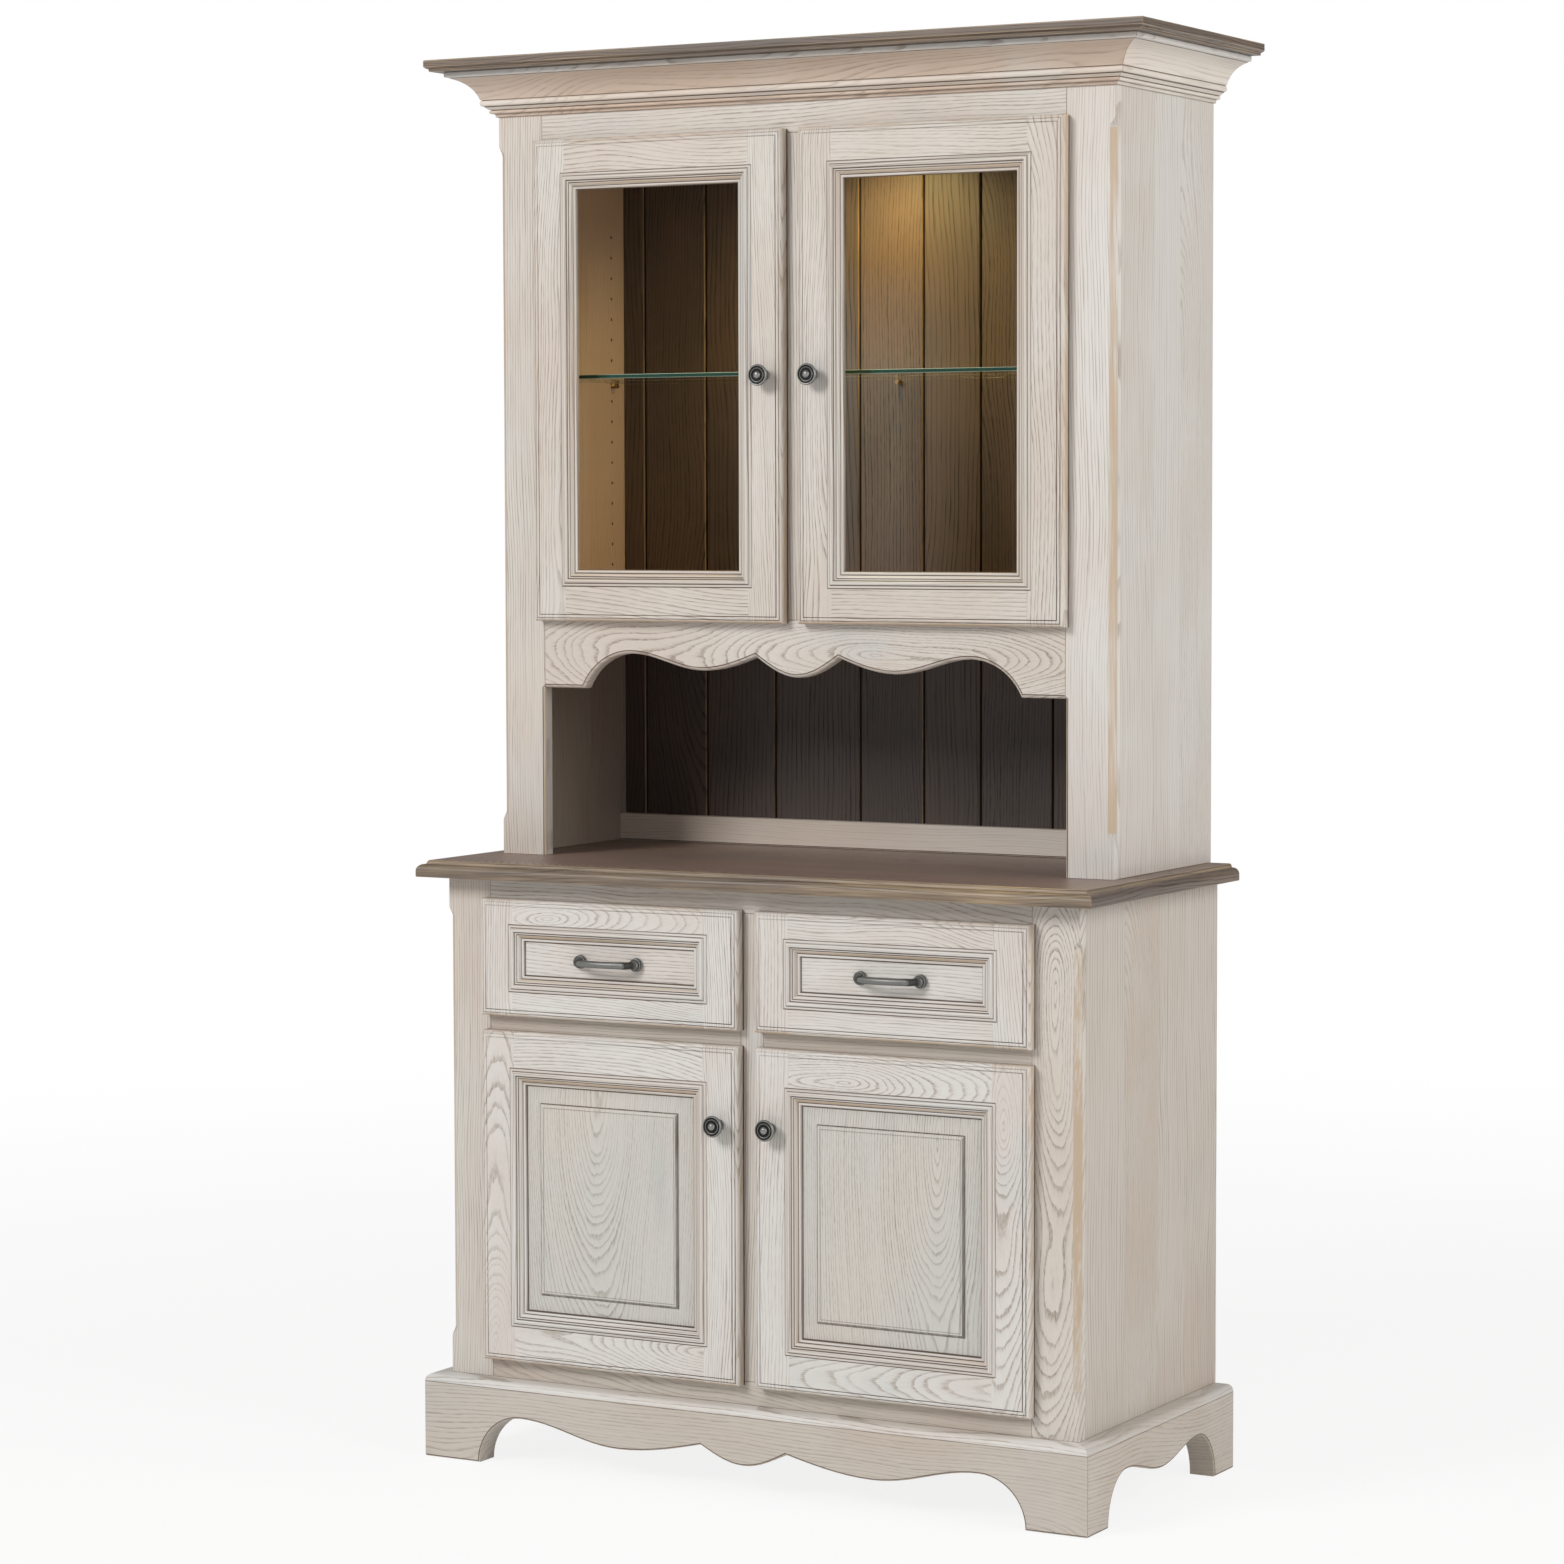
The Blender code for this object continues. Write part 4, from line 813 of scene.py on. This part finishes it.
glass = Finish("clear_glass")
see_through = glass.node("ShaderNodeBsdfTransparent", {"Color": (0.97, 0.985, 0.975)})
slant = glass.node("ShaderNodeFresnel", {"IOR": 1.4}) - 0.06
shine = glass.node("ShaderNodeClamp", {"Value": slant * (1.0 - glass.ray("Shadow"))})
glass.coat(Base_Color=(0.9, 0.95, 0.93), Metallic=1.0, Roughness=0.03)
glass.crossed(shine * 0.55, see_through, glass.own)
glass_edge = Finish("green_glass_edge").coat(Base_Color=(0.02, 0.065, 0.05), Roughness=0.12)
# The light arrises of the shelf's front edge are ground glass and partly a painted highlight.
glass_arris_highlight = Finish("glass_arris_painted_highlight").coat(Base_Color=(0.42, 0.52, 0.47), Roughness=0.2)


def pane(node, width, green_edge_with_highlights=False):
    """A sheet of glass with ground edges; a front edge can show green between two light arrises, which
    are ground glass and partly a painted highlight.
    """
    bm = board_copy(node)
    eased(bm, width, 1, 0.0)
    bm.normal_update()
    for face in bm.faces:
        if green_edge_with_highlights and face.normal.y < -0.3 and abs(face.normal.z) <= 0.99:
            face.material_index = 1 if face.normal.y < -0.99 else 2
    shown(bm, node, [glass.material, glass_edge, glass_arris_highlight])


pane("glass_shelf", 0.0007, green_edge_with_highlights=True)


# Puck light
# A round white plastic lamp screwed under the ceiling board, with a frosted lens behind a rim.


def turned(profile, centre, axis, steps, tones=None):
    """A profile of radius and reach, spun round the axis through centre; tones has one per point."""
    bm = marked(bmesh.new())
    layer = bm.loops.layers.float["tone"]
    centre, axis = Vector(centre), Vector(axis)
    turn = UP.rotation_difference(axis).to_matrix()
    line = [bm.verts.new(centre + turn @ Vector((radius, 0, reach))) for radius, reach in profile]
    edges = [bm.edges.new(pair) for pair in zip(line, line[1:])]
    bmesh.ops.spin(
        bm, geom=line + edges, cent=centre, axis=axis, angle=math.tau, steps=steps, use_merge=True,
    )
    bmesh.ops.remove_doubles(bm, verts=bm.verts, dist=1e-6)
    bmesh.ops.recalc_face_normals(bm, faces=bm.faces)
    if tones:
        for loop in corners(bm.faces):
            arm = loop.vert.co - centre
            reach = arm.dot(axis)
            radius = (arm - axis * reach).length
            misses = [abs(point[0] - radius) + abs(point[1] - reach) for point in profile]
            loop[layer] = tones[misses.index(min(misses))]
    return bm


lamp_low, lamp_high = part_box("puck_light")
lamp_centre = Vector(((lamp_low.x + lamp_high.x) / 2, (lamp_low.y + lamp_high.y) / 2, lamp_high.z))
lamp_radius = (lamp_high.x - lamp_low.x) / 2
lens_in = 0.0115
rim = ((0.0, 0.0), (0.0, 0.0075), (0.001, 0.01), (0.004, 0.0117), (0.009, 0.0117), (0.011, 0.0105))
lamp_profile = [(0.0, 0.0)] + [(lamp_radius - inset, reach) for inset, reach in rim + ((lens_in, 0.009),)]
lamp_profile += [(lamp_radius * 0.3, 0.0088), (0.0, 0.0087)]
white_plastic = Finish("white_lamp_rim").coat(Base_Color=(0.78, 0.76, 0.7), Roughness=0.35)
lit_lens = Finish("lit_lens").coat(
    Base_Color=(0.9, 0.8, 0.6), Roughness=0.6, Emission_Color=(1.0, 0.72, 0.38), Emission_Strength=4.0,
)
bm = turned(lamp_profile, lamp_centre, (0, 0, -1), 48)
for face in bm.faces:
    place = mid(face) - lamp_centre
    in_lens = place.z < -0.007 and math.hypot(place.x, place.y) < lamp_radius - lens_in + 0.0002
    face.material_index = 1 if in_lens else 0
shown(bm, "puck_light", [white_plastic, lit_lens])

glow = bpy.data.lights.new("puck_glow", "SPOT")
glow.energy = 10.4
glow.color = (1.0, 0.735, 0.29)
glow.spot_size = math.radians(156)
glow.spot_blend = 1.0
glow.shadow_soft_size = 0.02
holder = placed(glow)
holder.location = lamp_centre - UP * 0.016
holder.rotation_euler.x = math.radians(12)


# Doors and drawer fronts
# Oak frames with stiles that run past the rails, a stepped quarter-round on the outer edge and a
# mitred moulding inside: bead, quirk, cove and a fine inner bead.


def upright_face(rect, y):
    """A new shape with one upright rectangle in it."""
    bm = marked(bmesh.new())
    x0, x1, z0, z1 = rect
    points = ((x0, z0), (x1, z0), (x1, z1), (x0, z1))
    bmesh.ops.contextual_create(bm, geom=[bm.verts.new((x, y, z)) for x, z in points])
    bm.normal_update()
    bm.faces.ensure_lookup_table()
    return bm, bm.faces[0]


def add_ring(bm, face, rect, y, inset, shade):
    """Insets a front face: the new one is the rectangle drawn in by inset, at y, with one tone."""
    tone = bm.verts.layers.float["ring_tone"]
    bmesh.ops.inset_individual(bm, faces=[face], thickness=1e-4, use_even_offset=True)
    middle = mid(face)
    for v in face.verts:
        x = rect[0] + inset if v.co.x < middle.x else rect[1] - inset
        z = rect[2] + inset if v.co.z < middle.z else rect[3] - inset
        v.co = (x, y, z)
        v[tone] = shade


# Rings of inset, height and tone: from the rear of the outer edge to the face, and down the moulding.
# # The dark band at the rear of the outer edge is a painted shadow line where the front meets the frame,
# # and the golden band in the moulding's cove is painted shade.
EDGE = [(0.0, 0.0002, 1.0), (0.0, 0.0032, 1.0), (0.0, 0.0041, -0.65), (0.0, 0.012, -0.65)]
EDGE += [(0.0, 0.0136, -0.5)] + quarter((0.0044, 0.014), 0.0044, 0.0053, 180, 100, 6, -0.3)
EDGE += [(0.0043, 0.0188, 0.7), (0.0051, 0.0187, 0.7), (0.0055, 0.0195, 0.0), (0.0062, 0.0199, 0.0)]
EDGE += [(0.0078, 0.02, 0.0), (0.009, 0.0196, 0.1), (0.0093, 0.019, 0.75), (0.0101, 0.019, 0.75)]
EDGE += [(0.0106, 0.02, 0.05), (0.0115, 0.02, 0.0)]
MOULD = [(-0.0012, 0.0, 0.0), (-0.0006, 0.0, 0.9), (0.0004, 0.0004, 0.9), (0.0009, 0.001, 0.0)]
MOULD += [(0.0034, 0.0012, 0.0), (0.0039, 0.0009, 0.85), (0.0047, 0.0012, 0.85)]
MOULD += quarter((0.0078, 0.0022), 0.0027, 0.0026, 165, 12, 7, 0.0)
MOULD += [(0.0107, 0.0013, 1.0), (0.0117, 0.0008, 1.0), (0.0121, 0.001, 0.1), (0.0134, 0.0006, 0.0)]
MOULD += [(0.0138, -0.0004, 1.0), (0.0148, -0.0007, 1.0), (0.0152, -0.0007, -0.3)]
MOULD += [(0.0162, -0.0012, -0.35), (0.0173, -0.002, -0.35), (0.0183, -0.003, -0.35)]
MOULD += [(0.0188, -0.004, 0.0), (0.0192, -0.0048, 1.0), (0.0201, -0.0048, 1.0), (0.0205, -0.0045, 0.1)]
MOULD += quarter((0.0221, -0.005), 0.0015, 0.001, 150, 20, 4, 0.0)
MOULD += [(0.0239, -0.006, 0.8), (0.0245, -0.0067, 1.0), (0.025, -0.007, 1.0)]
front_thick = 0.02


def rect_of(node, stile=0.0, rail_low=0.0, rail_high=0.0):
    """The front rectangle of a node, drawn in by the widths of a frame."""
    low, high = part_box(node)
    return (low.x + stile, high.x - stile, low.z + rail_low, high.z - rail_high)


def front(node, mould_rect, inner):
    """A door or drawer front: edge, face and moulding, then the inner rings of inset, height and tone."""
    rect = rect_of(node)
    low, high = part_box(node)
    centre = (low + high) / 2
    bm, face = upright_face(rect, high.y)
    if face.normal.y > 0:
        bmesh.ops.reverse_faces(bm, faces=[face])
    tone = bm.verts.layers.float["ring_tone"]
    for inset, height, shade in EDGE:
        add_ring(bm, face, rect, high.y - height, inset, shade)
        # The glaze lines of the outer edge are kept darker along the bottom and the right side, as painted
        # shade.
        for v in face.verts:
            if shade > 0.0 and height > 0.0136:
                glaze_and_shade_kept = (0.45 if v.co.z > centre.z else 0.9) + (0.3 if v.co.x > centre.x else 0.0)
                v[tone] = shade * glaze_and_shade_kept
    for inset, height, shade in MOULD + inner:
        add_ring(bm, face, mould_rect, high.y - front_thick - height, inset, shade)
    return bm, face


# The share of the glaze that is left on three of the mouldings of a front; the shares differ by side
# # as painted shade, lightest on the right.
GLAZE_AND_SHADE_KEPT = {"mould_left": 0.62, "mould_right": 0.5, "mould_high": 0.85}


def joined_frame(bm, name, mould_rect):
    """Cuts the ring of a front into stiles, rails and mitred mouldings, and lays the grain of each."""
    layer = bm.loops.layers.float["tone"]
    joint_in = 0.006
    mould_width = 0.0256
    figures = "rift bold rift plain" if name.startswith("hutch") else "rift cathedral bold rift"
    x0, x1, z0, z1 = mould_rect
    for x in (x0 + joint_in, x1 - joint_in):
        slit(bm, (x, 0, 0), (1, 0, 0))
    groups = {}
    for face in bm.faces:
        c = mid(face)
        gaps = {"left": c.x - x0, "right": x1 - c.x, "low": c.z - z0, "high": z1 - c.z}
        side = min(gaps, key=gaps.get)
        if gaps[side] > mould_width:
            key = "panel"
        elif gaps[side] > -0.0003:
            key = f"mould_{side}"
        elif c.x < x0 + joint_in:
            key = "stile_left"
        elif c.x > x1 - joint_in:
            key = "stile_right"
        else:
            key = "rail_low" if c.z < (z0 + z1) / 2 else "rail_high"
        groups.setdefault(key, []).append(face)
    for key, faces in groups.items():
        upright = key.endswith(("_left", "_right"))
        if key == "panel":
            figure = "bold"
        elif key.startswith("mould"):
            figure = "straight"
        else:
            figure = random.Random(name + key).choice(figures.split())
        for loop in corners(faces):
            loop[layer] *= GLAZE_AND_SHADE_KEPT.get(key, 1.0) if loop[layer] > 0.0 else 1.0
        lay_grain(bm, name + key, figure, along=2 if upright else 0, flat=1, faces=faces)


def open_frame(node, stile, rail_low, rail_high, lip, cups, finish):
    """A door's frame: the ring of a front, with its inner edge taken back to the rear face."""
    mould_rect = rect_of(node, stile, rail_low, rail_high)
    step = lip - front_thick
    inner = [(0.025, -0.0076, 1.0), (0.025, step, 0.9), (0.016, step, 0.5)]
    inner += [(0.016, step - 0.007, 0.0), (0.0185, step - 0.007, 0.0), (0.0185, -front_thick, 0.0)]
    bm, face = front(node, mould_rect, inner)
    bmesh.ops.delete(bm, geom=[face], context="FACES_ONLY")
    bmesh.ops.bridge_loops(bm, edges=[e for e in bm.edges if e.is_boundary])
    bm = marked(bored(bm, cups))
    toned(bm)
    joined_frame(bm, node, mould_rect)
    shown(bm, node, finish)


steel = Finish("zinc_plated_steel").coat(Base_Color=(0.56, 0.56, 0.57), Metallic=1.0, Roughness=0.32)


def hinge_cups(door, side, rise):
    """The bores of a door's hinges, and the pressed steel cup in each."""
    inset = 0.0215
    cup_radius = 0.0175
    low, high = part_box(door)
    x = high.x - inset if side > 0 else low.x + inset
    places = [(x, high.y, z) for z in (low.z + rise, high.z - rise)]
    cutter = cylinders(places, cup_radius, 0.024, Vector((0, 1, 0)), 48)
    profile = [
        (0.0, -0.0112), (0.015, -0.0112), (0.0166, -0.01), (0.0166, 0.0001), (0.0195, 0.0003),
        (0.0195, 0.0011), (0.0158, 0.0011), (0.0156, -0.0094), (0.0145, -0.0104), (0.0, -0.0104),
    ]
    for place, key in zip(places, ("lower", "upper")):
        cup = turned(profile, place, (0, 1, 0), 48)
        shown(cup, door, steel, f"{door}_{key}_cup", replaces=False)
    return cutter


for side, key in ((-1, "left"), (1, "right")):
    door = f"hutch_door_frame_{key}"
    open_frame(door, 0.0505, 0.0525, 0.051, 0.0108, hinge_cups(door, side, 0.1), whitewash)
    pane(f"hutch_door_glass_{key}", 0.0006)

    door = f"base_door_frame_{key}"
    open_frame(door, 0.052, 0.0545, 0.0545, 0.0125, hinge_cups(door, side, 0.075), painted_light_wash)


# Raised panels
# Solid oak panels that float in the slots of the base door frames; a bevel rises to a crisp field.

grey_wash = oak(
    "grey_washed_oak", ground=(0.62, 0.612, 0.58), line=(0.27, 0.235, 0.185), warm=(0.65, 0.612, 0.562),
    cool=(0.52, 0.53, 0.508), glaze_and_painted_shade=(0.1, 0.074, 0.055), rubbed_and_painted_light=(0.68, 0.64, 0.58), strength=0.75,
)
for key in ("left", "right"):
    node = f"base_door_panel_{key}"
    rect = rect_of(node)
    low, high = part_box(node)
    top = high.y - low.y
    bm, face = upright_face(rect, high.y)
    bmesh.ops.duplicate(bm, geom=[face])
    # The field's raised edge is given light tones as a painted highlight.
    for inset, height, shade in (
        (0.0, 0.0058, 0.0), (0.0083, 0.0058, 1.0), (0.0094, 0.006, 0.2), (0.0322, 0.0086, 0.0),
        (0.0327, 0.0084, 0.8), (0.0339, 0.0087, 0.8), (0.0344, top - 0.0014, -0.2),
        (0.0353, top - 0.0004, -0.4), (0.0368, top, -0.35), (0.0384, top - 0.0001, -0.2),
        (0.0388, top - 0.0007, 0.5), (0.0396, top - 0.0007, 0.4), (0.0401, top - 0.0001, 0.0),
    ):
        add_ring(bm, face, rect, high.y - height, inset, shade)
    bmesh.ops.remove_doubles(bm, verts=bm.verts, dist=1e-6)
    toned(bm)
    # The bottom and right sides of the field's edge are painted darker as painted shade.
    for face in bm.faces:
        c = mid(face)
        if 0.0325 < min(c.z - low.z, high.x - c.x) < 0.0375 < min(c.x - low.x, high.z - c.z) + 0.006:
            paint(bm, [face], 0.6)
    lay_grain(bm, node, "cathedral", along=2, flat=1)
    shown(bm, node, grey_wash)


# Drawers
# Lipped fronts with a recessed panel, screwed to clear oak boxes that are glued up round a bottom.

for key in ("left", "right"):
    node = f"drawer_front_{key}"
    mould_rect = rect_of(node, 0.0505, 0.0375, 0.0375)
    inner = [(0.025, -0.0078, 1.0), (0.0253, -0.008, 0.8), (0.0262, -0.008, 0.0)]
    bm, face = front(node, mould_rect, inner)
    toned(bm, holes=4)
    joined_frame(bm, node, mould_rect)
    shown(bm, node, painted_light_wash)

    node = f"drawer_box_{key}"
    bm = board_copy(node)
    eased(bm, 0.0008, tone=0.0)
    low, high = box_of(bm.faces)
    wall = 0.0125
    walls = {"left": [], "right": [], "front": [], "rear": [], "bottom": []}
    for face in bm.faces:
        c = mid(face)
        gaps = {"left": c.x - low.x, "right": high.x - c.x, "front": c.y - low.y, "rear": high.y - c.y}
        side = min(gaps, key=gaps.get)
        walls[side if gaps[side] < wall else "bottom"].append(face)
    for side, faces in walls.items():
        lay_grain(bm, node + side, along=0 if side in ("front", "rear") else 1, faces=faces)
    shown(bm, node, clear_oak)


# Knobs and pulls
# Cast pewter, darkened in the recesses and rubbed bright on the rings; each is screwed from behind.

pewter = Finish("pewter")
mottle = pewter.noise(pewter.node("ShaderNodeTexCoord", {}, "Object"), 900.0, 2.0, 3.0)
dull = pewter.between(pewter.read("tone") + (mottle - 0.5) * 0.9, -0.7, 0.8)
pewter.coat(
    Base_Color=pewter.mixed(dull, (0.27, 0.271, 0.26), (0.022, 0.022, 0.021)),
    Metallic=0.7, Roughness=0.38 + dull * 0.25,
    Normal=pewter.node("ShaderNodeBump", {"Strength": 0.25, "Distance": 0.0003, "Height": mottle}),
)


def knob(node):
    """A turned knob: rosette, waist, and a head with rings round a domed centre."""
    low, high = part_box(node)
    centre = ((low.x + high.x) / 2, high.y, (low.z + high.z) / 2)
    rim = (high.x - low.x) / 2
    reach = high.y - low.y
    profile = [
        (0.0, 0.0), (0.0082, 0.0), (0.0085, 0.0006), (0.0085, 0.0016), (0.0078, 0.0026), (0.0064, 0.0034),
        (0.0055, 0.005), (0.005, 0.0075), (0.0051, 0.0105), (0.0058, 0.0132), (0.0078, 0.0152),
        (0.011, 0.0164), (rim - 0.0022, 0.0172), (rim - 0.0007, 0.0182), (rim, 0.0196), (rim, 0.021),
        (rim - 0.0007, 0.0224), (rim - 0.0015, 0.0231), (rim - 0.0023, 0.023), (rim - 0.0029, 0.0217),
        (rim - 0.0043, 0.0214), (rim - 0.0048, 0.0226), (rim - 0.0055, 0.0233), (rim - 0.0063, 0.023),
        (rim - 0.0068, 0.0218), (0.0063, 0.0216), (0.0058, 0.0228), (0.005, 0.0243),
        (0.0036, 0.0257), (0.0019, reach - 0.0002), (0.0, reach),
    ]
    tones = [
        0.3, 0.1, -0.2, -0.3, 0.1, 0.6, 0.7, 0.5, 0.4, 0.4, 0.5, 0.3, 0.0, -0.3, -0.5, -0.4, -0.5, -0.7, -0.5,
        1.0, 1.0, 0.1, -0.3, 0.1, 1.0, 1.0, 0.3, -0.4, -0.7, -0.8, -0.8,
    ]
    shown(turned(profile, centre, (0, -1, 0), 56, tones), node, pewter.material)


def swept(path, radius, sides):
    """A round bar along a path, lighter on its front: rubbed bright, and partly a painted highlight."""
    bm = marked(bmesh.new())
    layer = bm.loops.layers.float["tone"]
    path = [Vector(point) for point in path]
    ways = [(end - start).normalized() for start, end in zip(path, path[1:])]
    along = ways[0]
    turn = UP.rotation_difference(along).to_matrix().to_4x4()
    bmesh.ops.create_circle(
        bm, cap_ends=True, radius=radius, segments=sides, matrix=Matrix.Translation(path[0]) @ turn,
    )
    edges = bm.edges[:]
    for index, way in enumerate(ways, 1):
        new_along = (way + ways[min(index, len(ways) - 1)]).normalized()
        grown = bmesh.ops.extrude_edge_only(bm, edges=edges)["geom"]
        ring = [item for item in grown if isinstance(item, bmesh.types.BMVert)]
        edges = [
            item for item in grown
            if isinstance(item, bmesh.types.BMEdge) and all(v in ring for v in item.verts)
        ]
        bmesh.ops.translate(bm, verts=ring, vec=path[index] - path[index - 1])
        bend = along.rotation_difference(new_along).to_matrix()
        bmesh.ops.rotate(bm, verts=ring, cent=path[index], matrix=bend)
        along = new_along
    bmesh.ops.contextual_create(bm, geom=edges)
    bmesh.ops.recalc_face_normals(bm, faces=bm.faces)
    # The front of the bar is lighter, partly a painted highlight; the rest is darkened.
    rubbed_and_painted_light = min(point.y for point in path) + radius * 0.3
    for loop in corners(bm.faces):
        loop[layer] = -0.15 if loop.vert.co.y < rubbed_and_painted_light else 0.4
    return bm


def merged(shapes):
    """Several shapes in one."""
    whole = bmesh.new()
    for shape in shapes:
        mesh = mesh_of(shape, "part")
        whole.from_mesh(mesh)
        bpy.data.meshes.remove(mesh)
    return whole


def pull(node):
    """A bowed bar between two ringed round feet."""
    low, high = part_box(node)
    x = (low.x + high.x) / 2
    z = (low.z + high.z) / 2
    wall = high.y
    half = 0.048
    bar = 0.0053
    reach = wall - low.y - bar
    bow = 0.0045
    bend = 0.009
    lean = 0.0045
    path = [(x - half, wall - 0.006, z)]
    for step in range(9):
        a = math.radians(180 - 90 * step / 8)
        across = x - half + lean + bend + bend * math.cos(a)
        path.append((across, wall - (reach - bow - bend + bend * math.sin(a)), z))
    span = half - lean - bend
    for step in range(1, 24):
        share = -1 + step / 12
        path.append((x + span * share, wall - (reach - bow * share * share), z))
    path += [(2 * x - px, py, pz) for px, py, pz in reversed(path[:10])]
    foot = [
        (0.0, 0.0), (0.0098, 0.0), (0.0103, 0.0006), (0.0103, 0.0018), (0.0094, 0.0029), (0.008, 0.0035),
        (0.0077, 0.0042), (0.0091, 0.0052), (0.0097, 0.0063), (0.0091, 0.0075), (0.0075, 0.0084),
        (0.0069, 0.0092), (0.0075, 0.0101), (0.007, 0.0114), (0.0056, 0.0126), (0.0, 0.013),
    ]
    tones = [0.2, 0.0, -0.5, -0.5, 0.0, 0.8, 0.8, -0.2, -0.7, -0.3, 0.6, 0.7, -0.3, -0.3, 0.2, 0.2]
    shapes = [swept(path, bar, 24)]
    for end in (-half, half):
        shapes.append(turned(foot, (x + end, wall, z), (0, -1, 0), 40, tones))
    shown(merged(shapes), node, pewter.material)


for key in ("left", "right"):
    knob(f"hutch_door_knob_{key}")
    knob(f"base_door_knob_{key}")
    pull(f"drawer_pull_{key}")


# Concealed hinges
# Pressed steel arms screwed to the inner edges of the stiles, reaching into the cups of the doors.

for place in ("base", "hutch"):
    for key in ("left", "right"):
        for level in ("lower", "upper"):
            node = f"{place}_hinge_{key}_{level}"
            bm = board_copy(node)
            eased(bm, 0.0006, tone=0.0)
            shown(bm, node, steel)


# Studio
# A white floor and backdrop, a large soft lamp at the upper left and a weaker one at the right.

bm = bmesh.new()
bmesh.ops.create_grid(bm, x_segments=1, y_segments=1, size=30.0)
studio_floor = placed(mesh_of(bm, "studio_floor"))
studio_floor.location.z = -0.0005
white = Finish("studio_white")
studio_floor.data.materials.append(white.coat(Base_Color=(0.89, 0.89, 0.89), Roughness=0.9))
plain_white = white.node("ShaderNodeEmission", {"Color": (1.0, 1.0, 1.0)})
floor_place = white.node("ShaderNodeTexCoord", {}, "Object")
distance = white.node("ShaderNodeVectorMath", {0: floor_place}, "Value", operation="LENGTH")
far = white.between(distance, 1.2, 5.0)
seen_rays = white.ray("Camera") + white.ray("Glossy") + white.ray("Transmission")
white_share = (0.86 + 0.14 * far) * white.node("ShaderNodeClamp", {"Value": seen_rays})
white.crossed(white_share, white.own, plain_white)

world = Finish("studio", bpy.data.worlds, "Background")
bpy.context.scene.world = world.coat(Color=(1.0, 0.985, 0.965), Strength=0.3)
seen_air = world.node("ShaderNodeBackground", {"Color": (1.0, 1.0, 1.0)})
seen_rays = world.worked("MAXIMUM", world.ray("Camera"), world.ray("Transmission"))
world.crossed(seen_rays, world.own, seen_air)

middle_of_room = Vector((0, 0, 1.05))
for name, place, size, power, colour in (
    ("key_softbox", (-2.6, -5.8, 4.7), 2.4, 295.0, (1.0, 0.99, 0.98)),
    ("side_softbox", (4.3, -0.6, 2.6), 3.0, 100.0, (1.0, 0.99, 0.975)),
):
    softbox = bpy.data.lights.new(name, "AREA")
    softbox.size = size
    softbox.energy = power
    softbox.color = colour
    turn = (middle_of_room - Vector(place)).to_track_quat("-Z", "Y").to_matrix().to_4x4()
    placed(softbox).matrix_world = Matrix.Translation(place) @ turn

bpy.context.scene.view_settings.view_transform = "Standard"
camera = bpy.data.cameras.new("camera")
camera.sensor_width = 36.0
camera.lens = 100.09
viewer = placed(camera)
viewer.matrix_world = (
    Matrix.Translation((3.09408, -5.64674, 1.43845))
    @ Matrix.Rotation(0.51064, 4, "Z")
    @ Matrix.Rotation(math.pi / 2 - 0.064552, 4, "X")
    @ Matrix.Rotation(-0.0024784, 4, "Z")
)
bpy.context.scene.camera = viewer
